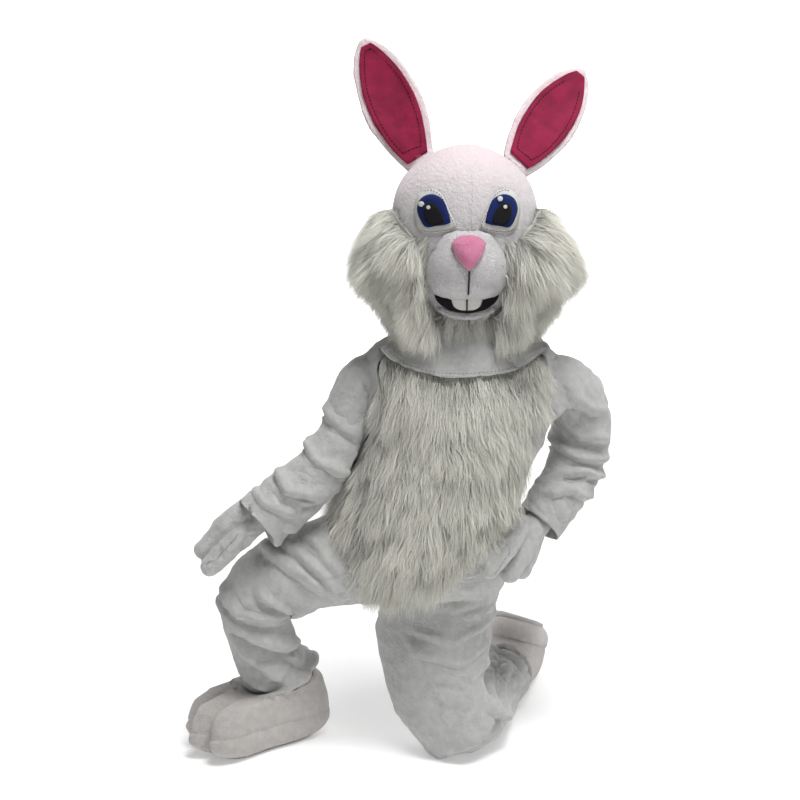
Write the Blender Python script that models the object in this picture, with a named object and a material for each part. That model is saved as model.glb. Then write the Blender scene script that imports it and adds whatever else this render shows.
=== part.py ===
"""A rabbit mascot costume, worn and half kneeling, with no wearer in it.

Every piece is a thin wall of cloth or foam that stands round an empty hollow:
a plush jumpsuit with a long-pile belly, a foam head with fur cheeks, ears and
a neck bib, gloves with three fingers and a thumb, and three-toed feet.

The costume faces -Y, +Z is up, and +X is the wearer's left. Places in the
tables below are metres above the floor; the frame's origin is the base of the
neck, so each mesh is lowered by NECK_HEIGHT when it is made.
"""

import math
from collections import namedtuple

import bpy
import numpy as np
from mathutils import Matrix
from mathutils.bvhtree import BVHTree

# Driving dimensions, in metres.
NECK_HEIGHT = 0.960
SEAM_GAP = 0.0003  # between two pieces that are sewn together
PLUSH = 0.0028  # short-pile cloth of the suit
FUR_REACH = 0.016  # long pile that lies on the belly
FOAM = 0.012  # plush over foam, as in the head and feet
FELT = 0.0022  # eye, tooth and mouth patches
FLOOR_CLEAR = 0.0004  # the lowest cloth, above the floor

# How finely the walls are divided.
TORSO_COLUMNS = 32
TORSO_ROWS = 15
BACK, LEFT, FRONT, RIGHT = 0, 8, 16, 24  # torso columns

Finish = namedtuple("Finish", "name colour roughness")
SUIT = Finish("suit_plush", (0.72, 0.72, 0.71), 0.95)
HEAD_PLUSH = Finish("head_plush", (0.83, 0.81, 0.82), 0.95)
LONG_FUR = Finish("long_fur", (0.74, 0.74, 0.68), 0.9)
EAR_PINK = Finish("ear_pink", (0.62, 0.05, 0.18), 0.8)
NOSE_PINK = Finish("nose_pink", (0.86, 0.42, 0.58), 0.85)
FELT_WHITE = Finish("felt_white", (0.86, 0.86, 0.83), 0.8)
FELT_BLUE = Finish("felt_blue", (0.03, 0.06, 0.28), 0.8)
FELT_BLACK = Finish("felt_black", (0.012, 0.012, 0.014), 0.8)
FOOT_PLUSH = Finish("foot_plush", (0.70, 0.67, 0.65), 0.95)
SOLE = Finish("sole", (0.35, 0.34, 0.33), 0.9)


# ---------------------------------------------------------------- curves
def unit(vectors):
    """Vectors made one long, along the last axis."""
    vectors = np.asarray(vectors, float)
    length = np.linalg.norm(vectors, axis=-1, keepdims=True)
    return vectors / np.maximum(length, 1e-12)


def hermite(start, start_slope, end, end_slope, t):
    """The cubic between two points that leaves and arrives with two slopes."""
    rise = t * t * (3 - 2 * t)
    leave = t * (1 - t) ** 2
    arrive = t * t * (t - 1)
    return start * (1 - rise) + end * rise + start_slope * leave + end_slope * arrive


def through(rows, at, spacing=3):
    """A smooth curve through the rows, read at fractions of its length.

    The length is measured over the first `spacing` columns.
    """
    rows = np.array(rows, float)
    at = np.atleast_1d(np.asarray(at, float))
    steps = np.linalg.norm(np.diff(rows[:, :spacing], axis=0), axis=1)
    knots = np.concatenate([[0], np.cumsum(steps)]) / steps.sum()
    slopes = np.gradient(rows, knots, axis=0)
    before = np.clip(np.searchsorted(knots, at, side="right") - 1, 0, len(knots) - 2)
    width = (knots[before + 1] - knots[before])[:, None]
    t = (at - knots[before])[:, None] / width
    first, second = rows[before], rows[before + 1]
    return hermite(first, slopes[before] * width, second, slopes[before + 1] * width, t)


# ---------------------------------------------------------------- walls
def normals_of(points, closed):
    """Outward unit normals of a grid whose rows run along a limb and whose
    columns run round it, anticlockwise when looked at from the limb's end."""
    if closed:
        round_it = np.roll(points, -1, axis=1) - np.roll(points, 1, axis=1)
    else:
        round_it = np.gradient(points, axis=1)
    along = np.gradient(points, axis=0)
    return unit(np.cross(round_it, along))


def share_normals(grids):
    """Gives points that several grids share one common normal."""
    found = {}
    for points, normals in grids:
        for place, normal in zip(points.reshape(-1, 3), normals.reshape(-1, 3)):
            key = tuple(np.round(place, 5))
            found[key] = found.get(key, 0) + normal
    for points, normals in grids:
        flat, flat_normals = points.reshape(-1, 3), normals.reshape(-1, 3)
        for i, place in enumerate(flat):
            flat_normals[i] = unit(found[tuple(np.round(place, 5))])


def grid_faces(rows, columns, width, closed=False):
    """Quads over a grid that is `width` points wide, facing outwards."""
    faces = []
    for r in rows:
        for c in columns:
            right = (c + 1) % width if closed else c + 1
            left = c % width
            faces.append(
                (r * width + left, r * width + right,
                 (r + 1) * width + right, (r + 1) * width + left)
            )
    return faces


def make_object(name, finish, points, faces):
    """One closed solid with its own material, placed in the part's frame."""
    mesh = bpy.data.meshes.new(name)
    lowered = np.asarray(points, float) - (0, 0, NECK_HEIGHT)
    mesh.from_pydata(lowered.tolist(), [], faces)
    mesh.validate()
    mesh.update()
    mesh.shade_smooth()
    mesh.set_sharp_from_angle(angle=math.radians(50))
    material = bpy.data.materials.get(finish.name)
    if material is None:
        material = bpy.data.materials.new(finish.name)
        material.use_nodes = True
        shader = material.node_tree.nodes["Principled BSDF"]
        shader.inputs["Base Color"].default_value = (*finish.colour, 1)
        shader.inputs["Roughness"].default_value = finish.roughness
        shader.inputs["Metallic"].default_value = 0
    mesh.materials.append(material)
    made = bpy.data.objects.new(name, mesh)
    bpy.context.scene.collection.objects.link(made)
    return made


def open_edges(faces):
    """The edges that only one face uses, in that face's direction."""
    used = set()
    for face in faces:
        for i, j in zip(face, face[1:] + face[:1]):
            used.add((i, j))
    return [(i, j) for i, j in used if (j, i) not in used]


def wall(name, finish, points, normals, thick, faces, lift=0.0, gap=SEAM_GAP / 2):
    """A wall from a sheet of points: its outer side is `lift` above them and
    its inner side `thick` below that. The sheet's free edges are drawn in by
    half a seam gap, so that two walls cut from one sheet don't touch."""
    points = np.asarray(points, float).reshape(-1, 3)
    normals = np.asarray(normals, float).reshape(-1, 3)
    thick = np.broadcast_to(np.asarray(thick, float).reshape(-1, 1), (len(points), 1))
    lift = np.broadcast_to(np.asarray(lift, float).reshape(-1, 1), (len(points), 1))
    rim = open_edges(faces)
    inward = {}
    for i, j in rim:
        edge = unit(points[j] - points[i])
        draw = unit(np.cross(unit(normals[i] + normals[j]), edge))
        inward.setdefault(i, []).append(draw)
        inward.setdefault(j, []).append(draw)
    drawn = np.zeros_like(points)
    for i, ways in inward.items():
        both = unit(np.sum(ways, axis=0))
        drawn[i] = both * gap / max(0.4, float(both @ ways[0]))
    outer = points + drawn + normals * lift
    inner = outer - normals * thick
    keep = sorted({i for face in faces for i in face})
    place = {old: new for new, old in enumerate(keep)}
    count = len(keep)
    solid = [tuple(place[i] for i in face) for face in faces]
    solid += [tuple(place[i] + count for i in reversed(face)) for face in faces]
    for i, j in rim:
        a, b = place[i], place[j]
        if tuple(np.round(points[i], 5)) < tuple(np.round(points[j], 5)):
            solid += [(b, a, b + count), (a, a + count, b + count)]
        else:
            solid += [(b, a, a + count), (b, a + count, b + count)]
    return make_object(name, finish, np.vstack([outer[keep], inner[keep]]), solid)


def tube_wall(name, finish, points, thick, capped=False, normals=None, lift=0.0):
    """A tube of wall, open at both ends or closed by a cap at its last ring."""
    rows, width = points.shape[:2]
    if normals is None:
        normals = normals_of(points, True)
    faces = grid_faces(range(rows - 1), range(width), width, closed=True)
    if capped:
        last = (rows - 1) * width
        faces.append(tuple(last + c for c in range(width)))
    return wall(name, finish, points, normals, thick, faces, lift)


# ---------------------------------------------------------------- torso
TorsoRing = namedtuple(
    "TorsoRing", "x y z_front z_back z_left z_right half_width front back turn square"
)
TORSO = [
    TorsoRing(0.000, 0.010, 0.938, 0.972, 0.966, 0.966, 0.088, 0.088, 0.085, 0, 2.0),
    TorsoRing(0.000, 0.008, 0.918, 0.960, 0.958, 0.958, 0.135, 0.108, 0.100, 0, 2.1),
    TorsoRing(-0.002, 0.005, 0.888, 0.935, 0.940, 0.940, 0.192, 0.128, 0.115, 0, 2.4),
    TorsoRing(-0.004, 0.002, 0.845, 0.892, 0.905, 0.905, 0.213, 0.146, 0.130, 0, 2.5),
    TorsoRing(-0.010, 0.000, 0.785, 0.825, 0.828, 0.828, 0.213, 0.162, 0.140, 2, 2.3),
    TorsoRing(-0.025, 0.000, 0.722, 0.748, 0.742, 0.742, 0.209, 0.175, 0.148, 6, 2.2),
    TorsoRing(-0.048, 0.002, 0.648, 0.665, 0.660, 0.665, 0.205, 0.186, 0.152, 11, 2.1),
    TorsoRing(-0.070, 0.005, 0.568, 0.590, 0.580, 0.600, 0.205, 0.190, 0.158, 18, 2.1),
    TorsoRing(-0.084, 0.008, 0.480, 0.515, 0.502, 0.545, 0.205, 0.182, 0.170, 25, 2.1),
    TorsoRing(-0.090, 0.010, 0.392, 0.440, 0.425, 0.500, 0.205, 0.165, 0.182, 31, 2.1),
]
# The armholes: the block of the torso's grid that each sleeve is sewn round.
ARMHOLE_ROWS = (2, 7)
ARMHOLE_HALF_COLUMNS = 3
Fold = namedtuple("Fold", "along round length width height slant")
TORSO_FOLDS = [
    Fold(0.50, 9.5, 4.0, 0.030, 0.010, 0.020),
    Fold(0.62, 9.0, 5.0, 0.028, 0.012, 0.028),
    Fold(0.76, 8.5, 5.0, 0.030, 0.012, 0.030),
    Fold(0.55, 22.5, 4.0, 0.030, 0.011, -0.022),
    Fold(0.70, 23.5, 5.0, 0.032, 0.013, -0.024),
    Fold(0.84, 24.0, 5.0, 0.030, 0.012, -0.020),
    Fold(0.60, 3.5, 4.0, 0.035, 0.010, 0.015),
    Fold(0.72, 28.5, 4.0, 0.035, 0.011, -0.018),
    Fold(0.83, 1.5, 5.0, 0.035, 0.010, 0.010),
]


def folded(points, folds, along, round_it, columns):
    """Moves a closed grid's points out along soft ridges and troughs.

    A fold is centred at a fraction of the length and at a column; it is
    `length` columns long each way, `width` of the length wide, and climbs by
    `slant` for each column round the limb.
    """
    normals = normals_of(points, True)
    rise = np.zeros(points.shape[:2])
    for fold in folds:
        round_off = (round_it - fold.round + columns / 2) % columns - columns / 2
        off = along - fold.along - fold.slant * round_off
        ridge = np.exp(-((off / fold.width) ** 2))
        rise += fold.height * ridge * np.exp(-((round_off / fold.length) ** 2))
    return points + normals * rise[..., None]


def torso_point(v, column):
    """Points of the suit's body: v is 0 at the neck and 1 at the hips."""
    ring = through(TORSO, v.ravel(), spacing=5).reshape(*v.shape, -1)
    x, y, front_z, back_z, left_z, right_z, wide, front, back, turn, square = (
        ring[..., k] for k in range(11)
    )
    angle = 2 * np.pi * column / TORSO_COLUMNS
    sine, cosine = np.sin(angle), np.cos(angle)
    power = 2 / square
    across = np.sign(sine) * np.abs(sine) ** power
    ahead = np.sign(cosine) * np.abs(cosine) ** power
    depth = np.where(cosine > 0, back, front)
    side, back_out = wide * across, depth * ahead
    swing = np.radians(turn)
    height = np.where(cosine > 0, back_z, front_z) * cosine**2
    height += np.where(sine > 0, left_z, right_z) * sine**2
    return np.stack(
        [x + side * np.cos(swing) + back_out * np.sin(swing),
         y - side * np.sin(swing) + back_out * np.cos(swing), height], axis=-1
    )


def round_off_block(v, column, centre):
    """Bends the grid near one armhole so that its square block is an oval."""
    middle = sum(ARMHOLE_ROWS) / 2
    half_rows = (ARMHOLE_ROWS[1] - ARMHOLE_ROWS[0]) / 2
    down = (v * (TORSO_ROWS - 1) - middle) / half_rows
    aside = (column - centre) / ARMHOLE_HALF_COLUMNS
    reach = np.maximum(np.abs(down), np.abs(aside))
    spread = np.maximum(np.hypot(down, aside), 1e-9)
    fade = np.clip((2.2 - reach) / 1.2, 0, 1)
    scale = 1 + (reach / spread - 1) * fade
    new_v = (middle + down * scale * half_rows) / (TORSO_ROWS - 1)
    return np.clip(new_v, 0, 1), centre + aside * scale * ARMHOLE_HALF_COLUMNS


# Half the fur panel's width, in columns of the torso, down from the neck.
BellyEdge = namedtuple("BellyEdge", "v half_width")
BELLY = [
    BellyEdge(0.00, 5.0),
    BellyEdge(0.20, 4.6),
    BellyEdge(0.40, 4.7),
    BellyEdge(0.55, 5.4),
    BellyEdge(0.70, 5.9),
    BellyEdge(0.82, 5.5),
    BellyEdge(0.92, 4.0),
    BellyEdge(1.00, 1.9),
]
BELLY_COLUMNS = 4


def follow_belly(v, column):
    """Slides columns round so that one each side runs down the fur's edge."""
    half = np.interp(v, [e.v for e in BELLY], [e.half_width for e in BELLY])
    off = column - FRONT
    quarter = FRONT - LEFT
    inside = off * half / BELLY_COLUMNS
    left_over = (quarter - half) / (quarter - BELLY_COLUMNS)
    outside = np.sign(off) * (half + (np.abs(off) - BELLY_COLUMNS) * left_over)
    slid = np.where(np.abs(off) <= BELLY_COLUMNS, inside, outside)
    return np.where(np.abs(off) <= quarter, FRONT + slid, column)


def torso_grid():
    """The whole body as one closed grid, with round armholes."""
    v, column = np.meshgrid(
        np.linspace(0, 1, TORSO_ROWS), np.arange(TORSO_COLUMNS, dtype=float), indexing="ij"
    )
    for centre in (LEFT, RIGHT):
        near = np.abs(column - centre) <= 8
        moved_v, moved_column = round_off_block(v, column, centre)
        v = np.where(near, moved_v, v)
        column = np.where(near, moved_column, column)
    column = follow_belly(v, column)
    points = torso_point(v, column)
    return folded(points, TORSO_FOLDS, v, column, TORSO_COLUMNS)


def block_loop(grid, rows, columns, outward):
    """The edge of a block left out of a grid, anticlockwise from outside."""
    top, bottom = rows
    first, last = columns
    path = [(top, c) for c in range(first, last)]
    path += [(r, last) for r in range(top, bottom)]
    path += [(bottom, c) for c in range(last, first, -1)]
    path += [(r, first) for r in range(bottom, top, -1)]
    loop = np.array([grid[r, c] for r, c in path])
    middle = loop.mean(axis=0)
    turn = np.cross(loop - middle, np.roll(loop, -1, axis=0) - middle).sum(axis=0)
    return loop if turn @ outward > 0 else loop[::-1]


# ---------------------------------------------------------------- limbs
LimbRing = namedtuple("LimbRing", "x y z across outer inner")


def limb_rings(rows, at, side, columns, start=None, held=None):
    """Rings round a limb whose bend lies square to `side`. A ring reaches
    `across` sideways, `outer` on the outside of the bend and `inner` inside.
    Its first point is turned to lie nearest the loop `start` begins with;
    the columns 0 and `held` of the first rings stay in line with that loop."""
    values = through(rows, at)
    centres = values[:, :3]
    along = unit(np.gradient(centres, np.asarray(at), axis=0))
    side = unit(side)
    across = unit(side - along * (along @ side)[:, None])
    outward = np.cross(along, across)
    if start is None:
        first = 0.0
    else:
        ring_angle = 2 * np.pi * np.arange(columns) / columns
        flat = start - start.mean(axis=0)
        pull = np.stack([flat @ across[0], flat @ outward[0]], axis=1)
        turned = (pull[:, 0] + 1j * pull[:, 1]) * np.exp(-1j * ring_angle)
        first = float(np.angle(turned.sum()))
    angle = first + 2 * np.pi * np.arange(columns) / columns
    angle = np.repeat(angle[None], len(centres), axis=0)
    if held is not None:
        seen = np.unwrap(np.angle(pull[:, 0] + 1j * pull[:, 1]))[[0, held]]
        seen += 2 * np.pi * np.round((angle[0, 0] - seen[0]) / (2 * np.pi))
        in_line = np.interp(
            np.arange(columns), [0, held, columns], [*seen, seen[0] + 2 * np.pi]
        )
        share = np.clip(1 - np.asarray(at) / 0.5, 0, 1)[:, None] ** 1.5
        angle += share * (in_line - angle)
    sine, cosine = np.sin(angle)[..., None], np.cos(angle)[..., None]
    wide, outer, inner = (values[:, k][:, None, None] for k in (3, 4, 5))
    depth = np.where(sine > 0, outer, inner)
    return (
        centres[:, None]
        + across[:, None] * wide * cosine
        + outward[:, None] * depth * sine
    )


def joined_limb(loop, leave, rings, stretch, rows):
    """A limb that grows out of a sewn loop: `rows` rings between the loop and
    the first round ring, then the round rings themselves."""
    arrive = unit(rings[1].mean(axis=0) - rings[0].mean(axis=0)) * stretch
    between = [
        hermite(loop, leave * stretch, rings[0], arrive[None], t)
        for t in np.linspace(0, 1, rows + 2)[:-1]
    ]
    return np.concatenate([np.array(between), rings])


def fold_limb(points, folds, first_row):
    """Folds on the round part of a limb; its sewn loop stays in place."""
    rows, columns = points.shape[:2]
    along = np.broadcast_to(np.linspace(0, 1, rows)[:, None], (rows, columns))
    round_it = np.broadcast_to(np.arange(columns)[None, :], (rows, columns))
    moved = folded(points, folds, along, round_it, columns)
    moved[:first_row] = points[:first_row]
    return moved


def above_floor(points):
    """Cloth that rests on the floor lies flat on it."""
    points = points.copy()
    points[..., 2] = np.maximum(points[..., 2], FLOOR_CLEAR)
    return points


SLEEVE_LEFT = [
    LimbRing(0.262, 0.022, 0.806, 0.078, 0.068, 0.066),
    LimbRing(0.275, 0.030, 0.772, 0.076, 0.067, 0.063),
    LimbRing(0.284, 0.038, 0.732, 0.072, 0.066, 0.056),
    LimbRing(0.286, 0.040, 0.680, 0.070, 0.066, 0.050),
    LimbRing(0.270, 0.026, 0.630, 0.068, 0.066, 0.050),
    LimbRing(0.234, -0.002, 0.583, 0.064, 0.066, 0.052),
    LimbRing(0.198, -0.024, 0.542, 0.060, 0.062, 0.056),
    LimbRing(0.174, -0.036, 0.515, 0.060, 0.062, 0.058),
]
SLEEVE_LEFT_SIDE = (0.55, -0.83, 0.10)
SLEEVE_LEFT_FOLDS = [
    Fold(0.42, 8.0, 4.5, 0.025, 0.010, 0.008),
    Fold(0.52, 16.0, 4.5, 0.028, 0.013, -0.006),
    Fold(0.60, 15.0, 5.0, 0.028, 0.014, 0.006),
    Fold(0.70, 16.0, 5.0, 0.030, 0.012, 0.010),
    Fold(0.80, 6.0, 4.0, 0.030, 0.008, 0.012),
]
SLEEVE_RIGHT = [
    LimbRing(-0.236, -0.014, 0.806, 0.077, 0.065, 0.066),
    LimbRing(-0.246, -0.022, 0.776, 0.074, 0.063, 0.064),
    LimbRing(-0.262, -0.036, 0.736, 0.070, 0.062, 0.060),
    LimbRing(-0.294, -0.056, 0.686, 0.068, 0.066, 0.054),
    LimbRing(-0.338, -0.076, 0.642, 0.067, 0.070, 0.052),
    LimbRing(-0.390, -0.094, 0.601, 0.066, 0.070, 0.056),
    LimbRing(-0.438, -0.108, 0.560, 0.066, 0.070, 0.060),
    LimbRing(-0.462, -0.115, 0.540, 0.067, 0.070, 0.062),
]
SLEEVE_RIGHT_SIDE = (0.35, 0.93, 0.05)
SLEEVE_RIGHT_FOLDS = [
    Fold(0.40, 8.0, 4.5, 0.026, 0.010, 0.006),
    Fold(0.50, 16.0, 4.5, 0.028, 0.014, -0.008),
    Fold(0.59, 15.0, 5.0, 0.028, 0.014, 0.008),
    Fold(0.69, 17.0, 5.0, 0.030, 0.012, -0.010),
    Fold(0.80, 14.0, 4.0, 0.028, 0.010, 0.010),
]
LEG_LEFT = [
    LimbRing(-0.064, -0.012, 0.280, 0.140, 0.132, 0.128),
    LimbRing(-0.062, -0.046, 0.202, 0.130, 0.116, 0.110),
    LimbRing(-0.050, -0.088, 0.128, 0.116, 0.098, 0.080),
    LimbRing(-0.026, -0.100, 0.084, 0.106, 0.090, 0.050),
    LimbRing(0.016, -0.048, 0.074, 0.092, 0.076, 0.048),
    LimbRing(0.054, 0.026, 0.070, 0.074, 0.068, 0.054),
    LimbRing(0.084, 0.092, 0.074, 0.067, 0.064, 0.058),
    LimbRing(0.106, 0.152, 0.082, 0.062, 0.058, 0.058),
    LimbRing(0.116, 0.186, 0.086, 0.060, 0.056, 0.056),
]
LEG_LEFT_SIDE = (0.83, -0.50, 0.20)
LEG_LEFT_FOLDS = [
    Fold(0.22, 11.0, 5.0, 0.028, 0.010, 0.008),
    Fold(0.33, 13.0, 6.0, 0.026, 0.011, -0.006),
    Fold(0.44, 14.0, 6.0, 0.024, 0.012, 0.010),
    Fold(0.55, 15.0, 5.0, 0.022, 0.012, 0.012),
    Fold(0.72, 16.0, 6.0, 0.020, 0.009, 0.004),
    Fold(0.79, 15.0, 6.0, 0.020, 0.010, -0.004),
    Fold(0.86, 16.0, 6.0, 0.020, 0.010, 0.005),
    Fold(0.93, 14.0, 6.0, 0.020, 0.008, 0.000),
]
LEG_RIGHT = [
    LimbRing(-0.310, -0.030, 0.412, 0.104, 0.126, 0.084),
    LimbRing(-0.380, -0.044, 0.406, 0.096, 0.098, 0.082),
    LimbRing(-0.440, -0.056, 0.390, 0.090, 0.084, 0.078),
    LimbRing(-0.474, -0.060, 0.352, 0.088, 0.086, 0.074),
    LimbRing(-0.478, -0.052, 0.302, 0.084, 0.079, 0.080),
    LimbRing(-0.464, -0.034, 0.240, 0.078, 0.074, 0.074),
    LimbRing(-0.442, -0.014, 0.182, 0.070, 0.068, 0.064),
    LimbRing(-0.416, 0.002, 0.132, 0.062, 0.062, 0.060),
    LimbRing(-0.402, 0.008, 0.104, 0.058, 0.058, 0.056),
]
LEG_RIGHT_SIDE = (0.26, -0.93, -0.25)
LEG_RIGHT_FOLDS = [
    Fold(0.24, 1.0, 5.0, 0.028, 0.012, 0.014),
    Fold(0.34, 20.0, 5.0, 0.026, 0.012, 0.016),
    Fold(0.44, 18.0, 5.0, 0.024, 0.014, 0.012),
    Fold(0.53, 17.0, 6.0, 0.024, 0.013, -0.004),
    Fold(0.64, 0.0, 5.0, 0.024, 0.011, 0.014),
    Fold(0.74, 20.0, 5.0, 0.022, 0.012, 0.016),
    Fold(0.84, 1.0, 6.0, 0.020, 0.012, 0.010),
    Fold(0.93, 19.0, 7.0, 0.020, 0.012, 0.004),
]
CROTCH_DROP = 0.100
CROTCH_ASIDE = 0.090
CROTCH_POINTS = 5


def crotch_curve(front, back):
    """The seam between the legs, from the belly under to the seat."""
    low = (front + back) / 2 - (CROTCH_ASIDE, 0, 2 * CROTCH_DROP)
    t = np.linspace(0, 1, CROTCH_POINTS + 2)[1:-1, None]
    return front * (1 - t) ** 2 + 2 * low * t * (1 - t) + back * t**2


def leg_loop(hip_ring, is_left):
    """The top edge of one trouser leg: half the hips, then the crotch."""
    seam = crotch_curve(hip_ring[FRONT], hip_ring[BACK])
    if is_left:
        return np.vstack([hip_ring[BACK : FRONT + 1], seam])
    return np.vstack([hip_ring[FRONT:], hip_ring[:1], seam[::-1]])


def leg(hip_ring, rows, side, is_left, folds):
    """One trouser leg, from the hips to its hem."""
    loop = leg_loop(hip_ring, is_left)
    at = np.linspace(0, 1, 13)
    held = FRONT - BACK if is_left else None
    rings = limb_rings(rows, at, side, len(loop), loop, held)
    middle = loop.mean(axis=0)
    aim = unit(rings[0].mean(axis=0) - middle)
    away = unit((loop - middle) * (1, 1, 0.3)) * 0.25
    inward = [c % len(loop) for c in range(-CROTCH_POINTS - (2 if is_left else 1), 1)]
    away[inward] = (0.02, 0, -0.5) if is_left else (-0.7, 0, 0.1)
    leave = unit(aim + away)
    points = joined_limb(loop, leave, rings, 0.16, 2)
    return above_floor(fold_limb(points, folds, 2))


def sleeve(torso, centre, rows, side, folds):
    """One sleeve, from the armhole to its hem."""
    outward = np.array([1.0 if centre == LEFT else -1.0, 0, 0])
    columns = (centre - ARMHOLE_HALF_COLUMNS, centre + ARMHOLE_HALF_COLUMNS)
    loop = block_loop(torso, ARMHOLE_ROWS, columns, outward)
    at = np.linspace(0, 1, 10)
    rings = limb_rings(rows, at, side, len(loop), loop)
    leave = unit(outward + np.array([0, 0, 0.10]))
    points = joined_limb(loop, leave, rings, 0.115, 2)
    return fold_limb(points, folds, 2)


def torso_cells(wanted):
    """Faces over the torso's grid for the cells that `wanted` picks."""
    top, bottom = ARMHOLE_ROWS
    faces = []
    for r in range(TORSO_ROWS - 1):
        for c in range(TORSO_COLUMNS):
            in_hole = any(
                centre - ARMHOLE_HALF_COLUMNS <= c < centre + ARMHOLE_HALF_COLUMNS
                for centre in (LEFT, RIGHT)
            )
            if top <= r < bottom and in_hole:
                continue
            if wanted(r, c):
                faces += grid_faces([r], [c], TORSO_COLUMNS, closed=True)
    return faces


def in_belly(_, c):
    """Cells of the fur panel, which runs over every row."""
    return FRONT - BELLY_COLUMNS <= c < FRONT + BELLY_COLUMNS


def settle(points, body, gap=0.0010):
    """Points that would sink into a cloth surface are brought out on to it."""
    points = points.copy()
    flat = points.reshape(-1, 3)
    for i, place in enumerate(flat):
        near, normal, _, away = body.find_nearest(tuple(place))
        if away is not None and away < 0.06:
            height = float((place - np.array(near)) @ np.array(normal))
            if height < gap:
                flat[i] = np.array(near) + np.array(normal) * gap
    return points


def keep_apart(points, rows, columns, body, gap):
    """Settles a block of a closed grid on a surface, in place."""
    block = np.ix_(list(rows), [c % points.shape[1] for c in columns])
    points[block] = settle(points[block], body, gap)


def surface_tree(grids):
    """The outer sides of several closed grids, for finding what is near."""
    places, faces = [], []
    for points in grids:
        rows, width = points.shape[:2]
        start = len(places)
        places += [tuple(p) for p in points.reshape(-1, 3)]
        faces += [
            tuple(start + i for i in face)
            for face in grid_faces(range(rows - 1), range(width), width, closed=True)
        ]
    return BVHTree.FromPolygons(places, faces)


def pile(rows, columns):
    """How high the long fur stands over each point of the torso's grid."""
    row, column = np.meshgrid(np.arange(rows), np.arange(columns), indexing="ij")
    off = np.abs(column - FRONT)
    tuft = 0.003 * ((row + column) % 2)
    high = np.where(off < BELLY_COLUMNS, FUR_REACH + tuft, 0.005)
    high = np.where(row == rows - 1, 0.004, high)
    return np.where(off <= BELLY_COLUMNS, high, 0.0)


def furred_lift(torso):
    """The way from the torso's cloth out to where its fur ends."""
    return normals_of(torso, True) * pile(*torso.shape[:2])[..., None]


def build_belly(torso, normals):
    """The panel of long fur down the front."""
    high = pile(*torso.shape[:2]).reshape(-1)
    wall(
        "belly_fur", LONG_FUR, torso, normals, high + PLUSH,
        torso_cells(in_belly), lift=high, gap=0.0018,
    )


def build_suit():
    """The jumpsuit: body panels, sleeves, legs and the back opening."""
    torso = torso_grid()
    hips = torso[-1]
    sleeves = {
        "sleeve_left": sleeve(torso, LEFT, SLEEVE_LEFT, SLEEVE_LEFT_SIDE, SLEEVE_LEFT_FOLDS),
        "sleeve_right": sleeve(
            torso, RIGHT, SLEEVE_RIGHT, SLEEVE_RIGHT_SIDE, SLEEVE_RIGHT_FOLDS
        ),
    }
    skin = surface_tree([torso + furred_lift(torso)])
    for name, points in sleeves.items():
        points[2:] = settle(points[2:], skin, 0.0070)
    legs = {
        "leg_left": leg(hips, LEG_LEFT, LEG_LEFT_SIDE, True, LEG_LEFT_FOLDS),
        "leg_right": leg(hips, LEG_RIGHT, LEG_RIGHT_SIDE, False, LEG_RIGHT_FOLDS),
    }
    keep_apart(legs["leg_left"], range(1, 4), range(14, 20),
               surface_tree([legs["leg_right"]]), 0.0150)
    keep_apart(legs["leg_right"], range(1, 3), range(3, 12), surface_tree([torso]), 0.0075)
    limbs = {**sleeves, **legs}
    normals = {name: normals_of(points, True) for name, points in limbs.items()}
    torso_normals = normals_of(torso, True)
    share_normals(
        [(torso, torso_normals)] + [(limbs[name], normals[name]) for name in limbs]
    )
    panels = {
        "front_panel_left": lambda r, c: LEFT <= c < FRONT and not in_belly(r, c),
        "front_panel_right": lambda r, c: FRONT <= c < RIGHT and not in_belly(r, c),
        "back_panel_left": lambda r, c: BACK <= c < LEFT,
        "back_panel_right": lambda r, c: RIGHT <= c,
    }
    for name, wanted in panels.items():
        wall(name, SUIT, torso, torso_normals, PLUSH, torso_cells(wanted))
    build_belly(torso, torso_normals)
    for name, points in limbs.items():
        tube_wall(name, SUIT, points, PLUSH, normals=normals[name])
    return torso, torso_normals, limbs


# ---------------------------------------------------------------- head
HeadRing = namedtuple("HeadRing", "z half_width front back")
HEAD = [
    HeadRing(1.377, 0.000, 0.000, 0.000),
    HeadRing(1.370, 0.044, 0.040, 0.048),
    HeadRing(1.349, 0.086, 0.080, 0.094),
    HeadRing(1.314, 0.131, 0.120, 0.140),
    HeadRing(1.270, 0.159, 0.146, 0.168),
    HeadRing(1.218, 0.167, 0.155, 0.176),
    HeadRing(1.150, 0.167, 0.156, 0.174),
    HeadRing(1.080, 0.158, 0.150, 0.162),
    HeadRing(1.020, 0.134, 0.134, 0.142),
    HeadRing(0.977, 0.106, 0.114, 0.118),
]
HEAD_MIDDLE = 0.003
HEAD_SQUARE = 2.2
HEAD_COLUMNS = 28
HEAD_ROWS = 12


def head_reach(z):
    """Half width, front and back reach of the head at each height."""
    fine = through(HEAD, np.linspace(0, 1, 240), spacing=4)[::-1]
    return [np.interp(z, fine[:, 0], fine[:, k]) for k in (1, 2, 3)]


def on_head(x, z):
    """The point of the head's front straight behind each x and z."""
    wide, front, _ = head_reach(z)
    across = np.clip(np.abs(x - HEAD_MIDDLE) / np.maximum(wide, 1e-6), 0, 0.995)
    y = -front * (1 - across**HEAD_SQUARE) ** (1 / HEAD_SQUARE)
    return np.stack([x + 0 * z, y, z + 0 * x], axis=-1)


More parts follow.
